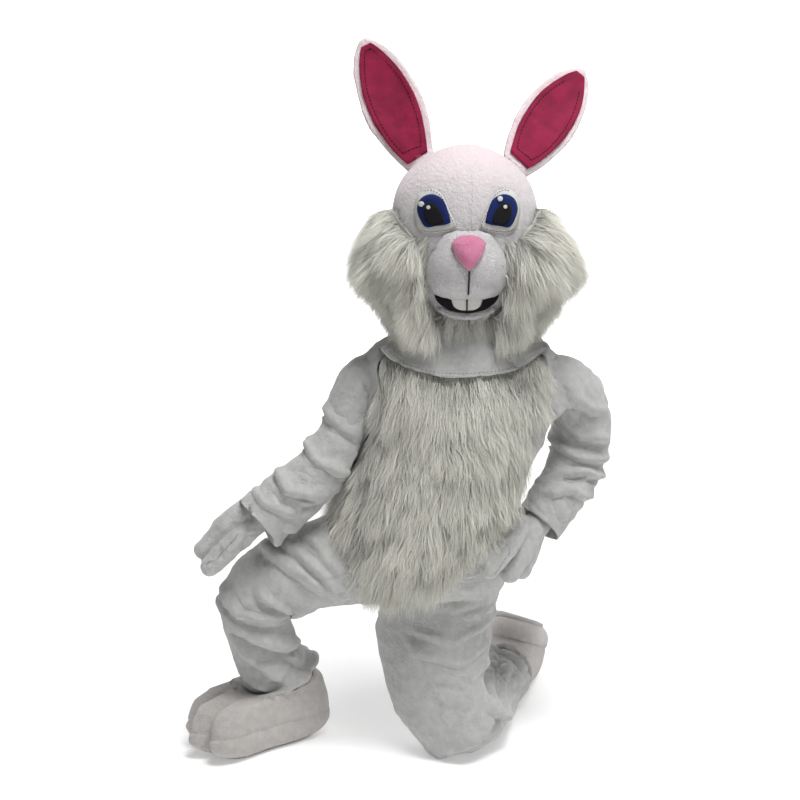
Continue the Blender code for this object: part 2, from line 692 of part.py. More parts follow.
def head_grid():
    """Rings of the head from the crown down to the neck opening."""
    rings = through(HEAD, np.linspace(0, 1, HEAD_ROWS), spacing=4)
    z, wide, front, back = (rings[:, k][:, None] for k in range(4))
    angle = 2 * np.pi * np.arange(HEAD_COLUMNS)[None, :] / HEAD_COLUMNS
    sine, cosine = np.sin(angle), np.cos(angle)
    power = 2 / HEAD_SQUARE
    depth = np.where(cosine > 0, back, front)
    x = HEAD_MIDDLE + wide * np.sign(sine) * np.abs(sine) ** power
    y = depth * np.sign(cosine) * np.abs(cosine) ** power
    return np.stack([x, y, z + 0 * x], axis=-1)


MuzzleRow = namedtuple("MuzzleRow", "z half_width depth")
MUZZLE = [
    MuzzleRow(1.182, 0.034, 0.000),
    MuzzleRow(1.171, 0.054, 0.028),
    MuzzleRow(1.148, 0.068, 0.042),
    MuzzleRow(1.125, 0.081, 0.056),
    MuzzleRow(1.100, 0.089, 0.062),
    MuzzleRow(1.076, 0.089, 0.058),
    MuzzleRow(1.056, 0.078, 0.044),
    MuzzleRow(1.044, 0.060, 0.022),
    MuzzleRow(1.039, 0.042, 0.000),
]


def on_muzzle(x, z):
    """The point of the muzzle's front straight behind each x and z."""
    fine = through(MUZZLE, np.linspace(0, 1, 120), spacing=3)[::-1]
    wide = np.interp(z, fine[:, 0], fine[:, 1])
    deep = np.interp(z, fine[:, 0], fine[:, 2])
    across = np.clip(np.abs(x - HEAD_MIDDLE) / wide, 0, 1)
    points = on_head(x, z)
    points[..., 1] -= deep * np.sqrt(1 - across**2)
    return points


def out_of(surface, x, z):
    """Outward unit normals of a front surface."""
    step = 1e-3
    aside = surface(x + step, z) - surface(x - step, z)
    upward = surface(x, z + step) - surface(x, z - step)
    return unit(np.cross(aside, upward))


def disc_faces(rings, width, start=0):
    """Faces over rings round one middle point, which is the grid's first."""
    middle = start * width
    faces = [
        (middle, (start + 1) * width + (c + 1) % width, (start + 1) * width + c)
        for c in range(width)
    ]
    return faces + grid_faces(range(start + 1, rings), range(width), width, closed=True)


def smooth_outline(corners, count):
    """A closed outline through the corners, clockwise from the first."""
    looped = list(corners) + [corners[0]]
    before, after = np.array(corners[-1], float), np.array(corners[1], float)
    rows = np.array([before, *map(np.array, looped), after], float)
    steps = np.linalg.norm(np.diff(rows, axis=0), axis=1)
    knots = np.concatenate([[0], np.cumsum(steps)])
    first, last = knots[1] / knots[-1], knots[-2] / knots[-1]
    at = first + (last - first) * np.arange(count) / count
    return through(rows, at, spacing=2)


def patch(name, finish, surface, outline, lift, thick, rings=2, dome=0.0):
    """A patch sewn on a front surface: its outline is in x and z, clockwise
    as seen from the front, and a stuffed one rises by `dome` in its middle."""
    outline = np.asarray(outline, float)
    width = len(outline)
    middle = outline.mean(axis=0)
    shares = np.linspace(0, 1, rings + 1)[:, None, None]
    flat = middle + (outline[None] - middle) * shares
    x, z = flat[..., 0], flat[..., 1]
    points, normals = surface(x, z), out_of(surface, x, z)
    rise = dome * np.sqrt(np.clip(1 - shares[..., 0] ** 2, 0, 1)) + 0 * x
    return wall(
        name, finish, points, normals, (thick + rise).reshape(-1),
        disc_faces(rings, width), lift=(lift + thick + rise).reshape(-1), gap=0.0,
    )


def build_head():
    """The foam head shell in three plush panels."""
    points = head_grid()
    normals = normals_of(points, True)
    normals[0] = (0, 0, 1)
    width, quarter = HEAD_COLUMNS, HEAD_COLUMNS // 4
    panels = {
        "head_front_left": range(quarter - 1, 2 * quarter),
        "head_front_right": range(2 * quarter, 3 * quarter + 1),
        "head_back": list(range(3 * quarter + 1, width)) + list(range(quarter - 1)),
    }
    for name, columns in panels.items():
        faces = [(0, width + (c + 1) % width, width + c) for c in columns]
        faces += grid_faces(range(1, HEAD_ROWS - 1), columns, width, closed=True)
        wall(name, HEAD_PLUSH, points, normals, FOAM, faces)
    return points, normals


def build_muzzle():
    """Two stuffed cheeks of the muzzle, sewn together down the middle."""
    rows = through(MUZZLE, np.linspace(0, 1, 9), spacing=3)
    across = np.linspace(0, 1, 6)[None, :]
    z, wide, deep = (rows[:, k][:, None] for k in range(3))
    bulge = np.sqrt(1 - across**2)
    lobe = np.sin(np.pi * np.clip(across, 0, 1)) * (deep > 0.03) * (z < 1.09)
    for name, way in (("muzzle_left", 1), ("muzzle_right", -1)):
        x = HEAD_MIDDLE + way * wide * across
        points = on_head(x, z + 0 * x)
        points[..., 1] -= deep * bulge + 0.0008
        points[..., 2] -= 0.006 * lobe * bulge
        normals = np.cross(np.gradient(points, axis=1), np.gradient(points, axis=0))
        normals = unit(normals) * -way
        normals = np.where(normals[..., 1:2] > -0.1, unit(normals - (0, 0.6, 0)), normals)
        normals[:, 0, 0] = 0
        normals = unit(normals)
        faces = grid_faces(range(8), range(5), 6)
        if way > 0:
            faces = [tuple(reversed(face)) for face in faces]
        made = wall(name, HEAD_PLUSH, points, normals, 0.004, faces, lift=0.003)
        clear_of_head(made)


def clear_of_head(made, gap=0.0007):
    """Brings what would lie inside the head's front out on to it."""
    for vertex in made.data.vertices:
        x, y, z = vertex.co.x, vertex.co.y, vertex.co.z + NECK_HEIGHT
        face = float(on_head(np.array(x), np.array(z))[1])
        vertex.co.y = min(y, face - gap)
    made.data.update()


# ---------------------------------------------------------------- face
# Outlines in x and z, for the eye on the +X side, clockwise from its top.
EYE_WHITE = [
    (0.078, 1.2740), (0.104, 1.2620), (0.1125, 1.2400), (0.111, 1.2130), (0.100, 1.1830),
    (0.083, 1.1785), (0.052, 1.1820), (0.026, 1.1865), (0.041, 1.2300), (0.057, 1.2635),
]
IRIS = [
    (0.074, 1.2616), (0.098, 1.2530), (0.1060, 1.2328), (0.099, 1.2080), (0.085, 1.1890),
    (0.076, 1.1930), (0.052, 1.1960), (0.038, 1.1990), (0.042, 1.2260), (0.053, 1.2518),
]
PUPIL = [
    (0.076, 1.2446), (0.0905, 1.2370), (0.0915, 1.2200), (0.078, 1.1955), (0.051, 1.1985),
    (0.062, 1.2330),
]
NOSE = [
    (0.000, 1.1725), (0.022, 1.1695), (0.035, 1.1570), (0.029, 1.1360), (0.012, 1.1120),
    (0.000, 1.1030), (-0.012, 1.1120), (-0.029, 1.1360), (-0.035, 1.1570), (-0.022, 1.1695),
]
Highlight = namedtuple("Highlight", "name x z radius")
HIGHLIGHTS = [
    Highlight("highlight_left_high", 0.0667, 1.2510, 0.0062),
    Highlight("highlight_left_low", 0.0765, 1.2340, 0.0044),
    Highlight("highlight_right_high", -0.0950, 1.2400, 0.0062),
    Highlight("highlight_right_low", -0.0805, 1.2328, 0.0044),
]
PATCH_GAP = 0.0008
LAYER = FELT + 0.0006
MOUTH_HALF_WIDTH = 0.069
MOUTH_TOP, MOUTH_BOTTOM, MOUTH_CORNER = 1.0305, 1.0080, 1.0405


def from_middle(outline, mirrored=False):
    """An outline moved to the head's middle line, or mirrored in it."""
    outline = np.asarray(outline, float)
    if mirrored:
        outline = outline[::-1] * (-1, 1)
    return outline + (HEAD_MIDDLE, 0)


def strip(name, finish, surface, x, z, lift, thick, dome=0.0):
    """A patch over a grid of x and z, with rows that climb."""
    points, normals = surface(x, z), out_of(surface, x, z)
    rows, width = x.shape
    along = np.linspace(-1, 1, rows)[:, None] + 0 * x
    rise = dome * np.sqrt(np.clip(1 - along**2, 0, 1))
    return wall(
        name, finish, points, normals, (thick + rise).reshape(-1),
        grid_faces(range(rows - 1), range(width - 1), width),
        lift=(lift + thick + rise).reshape(-1), gap=0.0,
    )


def mouth_edges(u):
    """Upper and lower edges of the mouth for u from -1 to 1 across it."""
    top = MOUTH_TOP + (MOUTH_CORNER - MOUTH_TOP) * u**2
    bottom = MOUTH_CORNER - (MOUTH_CORNER - MOUTH_BOTTOM) * np.sqrt(1 - u**2)
    return top, np.minimum(bottom, top - 0.0020)


def build_eyes():
    """Felt eyes: a white, an iris, a pupil and two highlights each."""
    for side, mirrored in (("left", False), ("right", True)):
        layers = (
            ("eye_white_", FELT_WHITE, EYE_WHITE, 20),
            ("iris_", FELT_BLUE, IRIS, 18),
            ("pupil_", FELT_BLACK, PUPIL, 12),
        )
        for level, (name, finish, corners, count) in enumerate(layers):
            outline = from_middle(smooth_outline(corners, count), mirrored)
            patch(name + side, finish, on_head, outline, PATCH_GAP + level * LAYER, FELT)
    angle = -2 * np.pi * np.arange(8) / 8
    for spot in HIGHLIGHTS:
        outline = spot.radius * np.stack([np.cos(angle), np.sin(angle)], axis=1)
        outline = from_middle(outline + (spot.x, spot.z))
        patch(
            spot.name, FELT_WHITE, on_head, outline, PATCH_GAP + 3 * LAYER, 0.0012, rings=1
        )


def build_mouth():
    """Nose, lip seam, mouth, teeth and lower lip."""
    patch(
        "nose", NOSE_PINK, on_nose_seat, from_middle(smooth_outline(NOSE, 16)), 0.0012,
        0.004, rings=3, dome=0.014,
    )
    climb = np.linspace(1.052, 1.101, 6)[:, None]
    x = HEAD_MIDDLE + np.array([[-0.0017, 0.0017]]) + 0 * climb
    strip("lip_seam", FELT_BLACK, on_nose_seat, x, climb + 0 * x, 0.0024, 0.0016)
    u = np.sin(np.linspace(-np.pi / 2, np.pi / 2, 15))[None, :]
    top, bottom = mouth_edges(u)
    share = np.linspace(0, 1, 3)[:, None]
    x = HEAD_MIDDLE + MOUTH_HALF_WIDTH * u + 0 * share
    strip("mouth", FELT_BLACK, on_head, x, bottom + (top - bottom) * share, PATCH_GAP, FELT)
    for name, way in (("tooth_left", 1), ("tooth_right", -1)):
        share = np.linspace(0, 1, 4)[:, None]
        across = np.linspace(0.0011, 1, 4)[None, ::way]
        round_off = 0.0045 * across**4 * (1 - share) ** 2
        reach = 0.0262 + 0.0060 * share
        x = HEAD_MIDDLE + way * (0.0010 + reach * across)
        z = 1.0150 + (1.0315 - 1.0150) * share + round_off
        strip(name, FELT_WHITE, on_head, x, z, PATCH_GAP + LAYER, FELT)
    u = np.linspace(-0.80, 0.80, 11)[None, :]
    _, below = mouth_edges(u)
    share = np.linspace(0, 1, 4)[:, None]
    deep = 0.0135 * np.sqrt(1 - u**2) + 0.0015
    z = below - 0.0012 - deep * (1 - share)
    x = HEAD_MIDDLE + MOUTH_HALF_WIDTH * u * (1 + 0.06 * (1 - share))
    strip("lower_lip", HEAD_PLUSH, on_head, x, z, PATCH_GAP, 0.002, dome=0.008)


def on_nose_seat(x, z):
    """The muzzle's outer side, where the nose and the lip seam are sewn."""
    points = on_muzzle(x, z)
    points[..., 1] -= 0.0060
    return points


# ---------------------------------------------------------------- ears
Ear = namedtuple("Ear", "side base_x base_z tip_x tip_y tip_z")
EARS = [
    Ear("right", -0.105, 1.340, -0.224, 0.030, 1.606),
    Ear("left", 0.124, 1.335, 0.279, 0.110, 1.548),
]
EarRow = namedtuple("EarRow", "along half_width")
EAR_SHAPE = [
    EarRow(0.00, 0.036), EarRow(0.12, 0.053), EarRow(0.27, 0.064), EarRow(0.45, 0.069),
    EarRow(0.62, 0.065), EarRow(0.77, 0.054), EarRow(0.89, 0.038), EarRow(0.97, 0.021),
    EarRow(1.00, 0.008),
]
EAR_THICK = 0.026
EAR_BORDER = 0.0135


def head_top(x, y):
    """Height of the head's surface straight below or above each x and y."""
    fine = through(HEAD, np.linspace(0, 1, 240), spacing=4)
    z, wide, front, back = (fine[:, k] for k in range(4))
    depth = np.where(y > 0, back, front) + 1e-6
    reach = np.abs((x - HEAD_MIDDLE) / (wide + 1e-6)) ** HEAD_SQUARE
    reach += np.abs(y / depth) ** HEAD_SQUARE
    inside = np.where(reach >= 1)[0]
    inside = inside[z[inside] > 1.20]
    return z[inside[-1]] if len(inside) else z[0]


def stand_on_head(made):
    """Lifts what would sink into the crown until it rests on it."""
    for vertex in made.data.vertices:
        top = head_top(vertex.co.x, vertex.co.y) - NECK_HEIGHT + 0.0008
        if top - 0.06 < vertex.co.z < top:
            vertex.co.z = top
    made.data.update()


def ear_sheet(ear, along, across):
    """Middle points of an ear, and the way its front faces."""
    base = np.array([ear.base_x, 0.0, ear.base_z])
    tip = np.array([ear.tip_x, ear.tip_y, ear.tip_z])
    axis = unit(tip - base)
    face = unit(np.array([0, -1, 0]) + axis * axis[1])
    side = np.cross(axis, face)
    wide = np.interp(along, [e.along for e in EAR_SHAPE], [e.half_width for e in EAR_SHAPE])
    cup = 0.012 * (1 - across**2) * np.sin(np.pi * np.clip(along, 0, 1))
    length = np.linalg.norm(tip - base)
    return wide, cup, base, axis * length, side, face


def build_ears():
    """Foam ears with a pink inner patch on the front of each."""
    for ear in EARS:
        along, across = np.meshgrid(
            np.array([0, 0.08, 0.18, 0.30, 0.43, 0.56, 0.68, 0.79, 0.88, 0.95, 1.0]),
            np.linspace(-1, 1, 7), indexing="ij",
        )
        wide, cup, base, axis, side, face = ear_sheet(ear, along, across)
        sheet = base + axis * along[..., None] + side * (wide * across)[..., None]
        thick = 0.008 + (EAR_THICK - 0.008) * np.sqrt(1 - across**2) * (1 - 0.5 * along)
        sheet = sheet - face * cup[..., None]
        front = np.broadcast_to(face, sheet.shape)
        made = wall(
            "ear_" + ear.side, HEAD_PLUSH, sheet, front, thick.reshape(-1),
            grid_faces(range(10), range(6), 7), lift=thick.reshape(-1) / 2, gap=0.0,
        )
        stand_on_head(made)
        along, across = np.meshgrid(
            np.array([0.045, 0.14, 0.25, 0.37, 0.49, 0.61, 0.72, 0.82, 0.90, 0.95]),
            np.linspace(-1, 1, 7), indexing="ij",
        )
        wide, _, base, axis, side, face = ear_sheet(ear, along, across)
        inset = np.maximum(wide - EAR_BORDER, 0.004)
        reach = across * inset / wide
        cup = 0.012 * (1 - reach**2) * np.sin(np.pi * along)
        thick = 0.008 + (EAR_THICK - 0.008) * np.sqrt(1 - reach**2) * (1 - 0.5 * along)
        sheet = base + axis * along[..., None] + side * (inset * across)[..., None]
        sheet = sheet + face * (thick / 2 - cup)[..., None]
        made = wall(
            "ear_inner_" + ear.side, EAR_PINK, sheet, np.broadcast_to(face, sheet.shape),
            FELT, grid_faces(range(9), range(6), 7), lift=FELT + 0.0012, gap=0.0,
        )
        stand_on_head(made)


# ---------------------------------------------------------------- cheek fur
CheekRow = namedtuple("CheekRow", "z front_x reach droop")
CHEEK = [
    CheekRow(1.238, 0.152, 0.010, 0.006),
    CheekRow(1.205, 0.136, 0.036, 0.012),
    CheekRow(1.165, 0.098, 0.058, 0.016),
    CheekRow(1.120, 0.093, 0.076, 0.020),
    CheekRow(1.080, 0.097, 0.088, 0.024),
    CheekRow(1.046, 0.082, 0.092, 0.026),
    CheekRow(1.016, 0.062, 0.088, 0.026),
    CheekRow(0.990, 0.045, 0.074, 0.024),
]
CHEEK_BACK = 0.62  # how far round the head the fur runs, in half turns


def build_cheeks():
    """Long fur on both cheeks: from the head out to where the pile ends."""
    rows = through(CHEEK, np.linspace(0, 1, 8), spacing=2)
    z, front_x, reach, droop = (rows[:, k][:, None] for k in range(4))
    wide, front, back = head_reach(z)
    start = np.arcsin((front_x / wide) ** (HEAD_SQUARE / 2))
    across = np.linspace(0, 1, 12)[None, :]
    angle = start + (CHEEK_BACK * np.pi - start) * across
    sine, cosine = np.sin(angle), np.cos(angle)
    power = 2 / HEAD_SQUARE
    depth = np.where(cosine < 0, back, front)
    x = wide * np.abs(sine) ** power
    y = -depth * np.sign(cosine) * np.abs(cosine) ** power
    swell = np.interp(across, [0, 0.12, 0.4, 0.75, 0.92, 1], [0.28, 0.62, 1, 0.95, 0.6, 0.2])
    lock = 1 + 0.05 * (-1.0) ** np.arange(12)[None, :]
    for side, way, more in (("left", 1, 1.10), ("right", -1, 0.92)):
        skin = np.stack([HEAD_MIDDLE + way * x, y, z + 0 * x], axis=-1)
        radial = unit(np.stack([way * x, y * 0.9, 0 * x], axis=-1))
        out = reach * swell * lock * more
        tip = skin + radial * (out + 0.004)[..., None] - (0, 0, 1) * (droop * swell)[..., None]
        base = skin + radial * 0.0022
        faces = grid_faces(range(7), range(11), 12)
        if way > 0:
            faces = [tuple(reversed(face)) for face in faces]
        way_out = tip - base
        thick = np.linalg.norm(way_out, axis=-1)
        wall("cheek_fur_" + side, LONG_FUR, tip, unit(way_out), thick.reshape(-1), faces, gap=0.0)


# ---------------------------------------------------------------- bib and back
BIB_LIFT = FUR_REACH + 0.0045


def build_bib():
    """The collar flap that hangs from the head over the chest."""
    column = FRONT + np.linspace(-5.3, 5.3, 13)[None, :]
    off = np.abs(column - FRONT)
    low = 0.120 - 0.030 * (off / 5.3) ** 2.4
    share = np.linspace(0.45, 1, 4)[:, None]
    v = low * share
    points = torso_point(v, column + 0 * v)
    normals = unit(np.cross(np.gradient(points, axis=1), np.gradient(points, axis=0)))
    lift = np.where(off > 4.95, 0.0075, BIB_LIFT)
    points = points + normals * lift[..., None]
    angle = 2 * np.pi * column / TORSO_COLUMNS
    wide, front, _ = head_reach(np.array(0.978))
    rim = np.stack(
        [HEAD_MIDDLE + (wide - 0.004) * np.sin(angle), (front - 0.004) * np.cos(angle),
         0.9715 + 0 * angle], axis=-1
    )
    points = np.concatenate([rim, points])
    normals = unit(np.cross(np.gradient(points, axis=1), np.gradient(points, axis=0)))
    wall("neck_bib", SUIT, points, normals, PLUSH, grid_faces(range(4), range(12), 13), lift=PLUSH)


def build_placket(torso, normals):
    """The covered zip opening down the middle of the back."""
    rows = slice(0, TORSO_ROWS - 1)
    left = (torso[rows, 0] * 0.45 + torso[rows, 1] * 0.55)
    right = (torso[rows, 0] * 0.45 + torso[rows, -1] * 0.55)
    points = np.stack([right, torso[rows, 0], left], axis=1)
    out = np.stack([normals[rows, -1], normals[rows, 0], normals[rows, 1]], axis=1)
    points[0] += (points[1] - points[0]) * 0.25
    faces = grid_faces(range(TORSO_ROWS - 2), range(2), 3)
    wall("back_placket", SUIT, points, out, 0.0030, faces, lift=0.0066)


# ---------------------------------------------------------------- gloves
Finger = namedtuple("Finger", "name aside length")
Glove = namedtuple("Glove", "side palm width_way fingers thumb")
GLOVES = [
    Glove(
        "right",
        [
            LimbRing(-0.450, -0.1075, 0.561, 0.037, 0.030, 0.030),
            LimbRing(-0.470, -0.112, 0.543, 0.042, 0.031, 0.031),
            LimbRing(-0.496, -0.117, 0.521, 0.055, 0.030, 0.030),
            LimbRing(-0.518, -0.122, 0.502, 0.062, 0.028, 0.028),
            LimbRing(-0.536, -0.126, 0.487, 0.064, 0.028, 0.028),
        ],
        (0.57, -0.65, -0.45),
        [Finger("a", -0.0372, 0.062), Finger("b", 0.0, 0.072), Finger("c", 0.0372, 0.064)],
        [(-0.458, -0.168, 0.487), (-0.459, -0.180, 0.472), (-0.476, -0.190, 0.452)],
    ),
    Glove(
        "left",
        [
            LimbRing(0.192, -0.034, 0.531, 0.034, 0.030, 0.030),
            LimbRing(0.170, -0.062, 0.510, 0.042, 0.031, 0.031),
            LimbRing(0.150, -0.096, 0.493, 0.055, 0.030, 0.030),
            LimbRing(0.131, -0.127, 0.478, 0.062, 0.028, 0.028),
            LimbRing(0.120, -0.144, 0.468, 0.064, 0.028, 0.028),
        ],
        (0.70, 0.30, -0.62),
        [Finger("a", -0.0372, 0.050), Finger("b", 0.0, 0.072), Finger("c", 0.0372, 0.066)],
        [(0.162, -0.022, 0.486), (0.158, 0.006, 0.470), (0.154, 0.030, 0.454)],
    ),
]
FINGER_RADIUS = 0.0178
PALM_COLUMNS = 14
FINGER_COLUMNS = 10


def squared(points, amount):
    """Rings pushed out at their corners, from ellipses towards boxes."""
    width = points.shape[1]
    middle = points.mean(axis=1, keepdims=True)
    angle = 2 * np.pi * np.arange(width) / width
    push = 1 + amount * np.sin(2 * angle)[None, :, None] ** 2
    return middle + (points - middle) * push


def sock(path, way, radius, columns):
    """A round tube along a path that closes over a rounded end."""
    length = np.array([0, 0.40, 0.76, 0.94, 1.0])
    width = np.array([1, 1.03, 1.02, 0.74, 0.36])
    rows = [
        LimbRing(*place, radius, radius, radius) for place in path
    ]
    rings = limb_rings(rows, length, way, columns)
    middle = rings.mean(axis=1, keepdims=True)
    return middle + (rings - middle) * width[:, None, None]


def build_gloves(torso, limbs):
    """Two gloves, each a palm, three fingers and a thumb."""
    lifted = torso + furred_lift(torso)
    body = surface_tree([lifted, limbs["leg_left"], limbs["leg_right"]])
    for glove in GLOVES:
        at = np.array([0, 0.25, 0.5, 0.75, 1.0])
        palm = limb_rings(glove.palm, at, glove.width_way, PALM_COLUMNS)
        palm[2:] = squared(palm[2:], 0.12)
        palm[1:] = settle(palm[1:], body, 0.0030)
        tube_wall("palm_" + glove.side, SUIT, palm, PLUSH)
        end = palm[-1].mean(axis=0)
        before = palm[-2].mean(axis=0)
        along = unit(end - before)
        way = unit(palm[-1][0] - palm[-1][PALM_COLUMNS // 2])
        for finger in glove.fingers:
            start = end + way * finger.aside - along * 0.004
            spread = unit(along + way * finger.aside * 0.6)
            path = [start + spread * finger.length * k / 3 for k in range(4)]
            tube = sock(path, way, FINGER_RADIUS, FINGER_COLUMNS)
            tube[1:] = settle(tube[1:], body, 0.0030)
            name = "finger_" + finger.name + "_" + glove.side
            tube_wall(name, SUIT, tube, PLUSH, capped=True)
        tube = sock(glove.thumb, way, 0.0165, FINGER_COLUMNS)
        tube = settle(tube, body, 0.0030)
        tube_wall("thumb_" + glove.side, SUIT, tube, PLUSH, capped=True)


# ---------------------------------------------------------------- feet
# Half of a foot's outline, heel to middle toe: along it and out from its line.
FootPoint = namedtuple("FootPoint", "along aside")
FOOT_OUTLINE = [
    FootPoint(0.000, 0.000), FootPoint(0.006, 0.030), FootPoint(0.026, 0.051),
    FootPoint(0.060, 0.063), FootPoint(0.100, 0.068), FootPoint(0.140, 0.070),
    FootPoint(0.180, 0.073), FootPoint(0.218, 0.079), FootPoint(0.252, 0.086),
    FootPoint(0.284, 0.089), FootPoint(0.312, 0.081), FootPoint(0.327, 0.063),
    FootPoint(0.323, 0.044), FootPoint(0.308, 0.030), FootPoint(0.337, 0.019),
    FootPoint(0.348, 0.000),
]
TOE_NOTCH = 13  # the column between two toes
FOOT_WALL = 0.006
SEAM_HEIGHT = 0.058
BAND = ((0.72, 0.0045), (0.88, 0.013), (0.98, 0.028), (1.02, 0.044), (1.0, SEAM_HEIGHT))
Foot = namedtuple("Foot", "side size heel ahead up mouth mouth_back mouth_aside")
FEET = [
    Foot(
        "right", 1.03, (-0.319, 0.040, 0.0004), (-0.830, -0.558, 0), (0, 0, 1),
        (-0.4185, 0.0015, 0.138), (0.0690, 0.0430, 0.004), (-0.036, 0.058, 0),
    ),
    Foot(
        "left", 1.04, (0.163, 0.262, 0.203), (0.080, 0.946, -0.300), (-0.240, -0.290, -0.920),
        (0.116, 0.176, 0.088), (0, 0.004, 0.070), (-0.072, 0, 0),
    ),
]


def foot_rings(foot):
    """Rings of one foot from its sole up to its mouth."""
    half = np.array(FOOT_OUTLINE) * foot.size
    outline = np.vstack([half, half[-2:0:-1] * (1, -1)])
    count = len(outline)
    ahead, up = unit(foot.ahead), np.array(foot.up, float)
    up = unit(up - ahead * (up @ ahead))
    aside = np.cross(ahead, up)
    heel = np.array(foot.heel)

    def placed(plan, height):
        return heel + plan[:, :1] * ahead + plan[:, 1:] * aside + height[:, None] * up

    middle = np.array([0.16, 0.0])
    level = np.ones(count)
    band = [
        placed(middle + (outline - middle) * scale, level * height)
        for scale, height in BAND
    ]
    angle = 2 * np.pi * np.arange(count) / count
    mouth = (
        np.array(foot.mouth)
        + np.cos(angle)[:, None] * np.array(foot.mouth_back)
        + np.sin(angle)[:, None] * np.array(foot.mouth_aside)
    )
    offset = mouth - heel
    end = np.stack([offset @ ahead, offset @ aside, offset @ up], axis=1)
    toeward = np.clip(outline[:, 0] / 0.33, 0, 1) ** 0.8
    share = [0, 0.07, 0.24, 0.60, 1]
    toe_rise = [0, 0.58, 0.82, 0.90, 1]
    heel_rise = [0, 0.34, 0.64, 0.88, 1]
    groove = [0.004, 0.016, 0.013, 0, 0]
    upper = []
    for k in range(5):
        plan = outline * (1 - share[k]) + end[:, :2] * share[k]
        rise = toe_rise[k] * toeward + heel_rise[k] * (1 - toeward)
        height = SEAM_HEIGHT + (end[:, 2] - SEAM_HEIGHT) * rise
        for column in (TOE_NOTCH, count - TOE_NOTCH):
            height[column] -= groove[k]
        upper.append(placed(plan, height))
    return above_floor(np.array(band)), above_floor(np.array(upper))


def build_feet(limbs):
    """Three-toed feet: a sole, a band round it and an upper with a mouth."""
    for foot in FEET:
        band, upper = foot_rings(foot)
        hem = surface_tree([limbs["leg_" + foot.side]])
        upper[1:] = settle(upper[1:], hem, FOOT_WALL + 0.0085)
        both = np.concatenate([band, upper[1:]])
        normals = normals_of(both, True)
        width = both.shape[1]
        rows = len(band) - 1
        for name, first, last in (("foot_band_", 0, rows), ("foot_upper_", rows, len(both) - 1)):
            faces = grid_faces(range(first, last), range(width), width, closed=True)
            wall(name + foot.side, FOOT_PLUSH, both, normals, FOOT_WALL, faces)
        up = unit(np.cross(band[0][4] - band[0][0], band[0][-4] - band[0][0]))
        if up @ (both[rows].mean(axis=0) - both[0].mean(axis=0)) < 0:
            up = -up
        edge = band[0] - up * 0.0006
        middle = edge.mean(axis=0, keepdims=True)
        halfway = middle + (edge - middle) * 0.55
        disc = np.stack([np.repeat(middle, width, axis=0), halfway, edge])
        down = np.broadcast_to(-up, disc.shape)
        faces = disc_faces(2, width)
        wall("sole_" + foot.side, SOLE, disc, down, 0.0030, faces, lift=0.0030, gap=0.0)


# ---------------------------------------------------------------- seats
# What is sewn on, and the pieces that carry it.
HEAD_PIECES = ["head_back", "head_front_left", "head_front_right"]
GLOVE_LEFT, GLOVE_RIGHT = (
    [piece + side for piece in ("palm", "thumb", "finger_a", "finger_b", "finger_c")]
    for side in ("_left", "_right")
)
HELD = [
    (["lip_seam"], ["muzzle_left", "muzzle_right", "mouth"]),
    (["nose"], ["muzzle_left", "muzzle_right", "lip_seam"]),
    (["highlight_left_high"], ["iris_left", "pupil_left"]),
    (["highlight_right_high"], ["iris_right", "pupil_right"]),
    (["ear_inner_left"], ["ear_left"]),
    (["ear_inner_right"], ["ear_right"]),
    (["ear_left", "ear_inner_left"], HEAD_PIECES),
    (["ear_right", "ear_inner_right"], HEAD_PIECES),
    (["back_placket"], ["back_panel_left", "back_panel_right"]),
    (["neck_bib"], ["belly_fur", "front_panel_left", "front_panel_right"]),
    (["finger_c_left"], ["finger_b_left", "palm_left"]),
    (["finger_a_left"], ["finger_b_left", "palm_left"]),
    (["finger_b_right"], ["finger_a_right", "palm_right"]),
    (["finger_c_right"], ["finger_b_right", "palm_right"]),
    (["finger_a_left", "finger_b_left", "finger_c_left"], ["palm_left"]),
    (["finger_a_right", "finger_b_right", "finger_c_right"], ["palm_right"]),
    (["thumb_left"], ["palm_left", "finger_c_left"]),
    (["thumb_right"], ["palm_right", "finger_c_right", "finger_a_right"]),
    (GLOVE_LEFT, ["sleeve_left"]),
    (GLOVE_RIGHT, ["sleeve_right"]),
    (["foot_upper_left", "foot_band_left", "sole_left"], ["leg_left"]),
]


def mesh_of(names):
    """The points of some pieces, and a search tree over their walls."""
    points, faces = [], []
    for name in names:
        mesh = bpy.data.objects[name].data
        start = len(points)
        points += [vertex.co.copy() for vertex in mesh.vertices]
        faces += [[start + i for i in face.vertices] for face in mesh.polygons]
    return points, BVHTree.FromPolygons(points, faces)


def seat(names, carriers, gap=3 * SEAM_GAP):
    """Slides pieces the shortest way, until hardly a gap is left."""
    points, walls = mesh_of(names)
    carrier_points, carrier_walls = mesh_of(carriers)
    ways = [carrier_walls.find_nearest(place)[0] - place for place in points]
    ways += [place - walls.find_nearest(place)[0] for place in carrier_points]
    way = min(ways, key=lambda step: step.length)
    if way.length > gap:
        for name in names:
            mesh = bpy.data.objects[name].data
            mesh.transform(Matrix.Translation(way * (1 - gap / way.length)))


def remove_start_scene():
    """Clears whatever the file held before."""
    for old in list(bpy.data.objects):
        bpy.data.objects.remove(old)


def main():
    remove_start_scene()
    torso, torso_normals, limbs = build_suit()
    build_head()
    build_muzzle()
    build_eyes()
    build_mouth()
    build_ears()
    build_cheeks()
    build_bib()
    build_placket(torso, torso_normals)
    build_gloves(torso, limbs)
    build_feet(limbs)
    for names, carriers in HELD:
        seat(names, carriers)


main()
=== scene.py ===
# %% [markdown]
# A rabbit costume, dressed on its fixed frame
#
# The frame holds every sewn piece as a plain solid of the right size, in
# metres, with its origin at the base of the neck. Here each piece gets the
# look of its cloth: short plush, long combed fur, felt and velvet.

# %% Load the frame
import math

import bmesh
import bpy
import numpy as np
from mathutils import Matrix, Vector
from mathutils.bvhtree import BVHTree


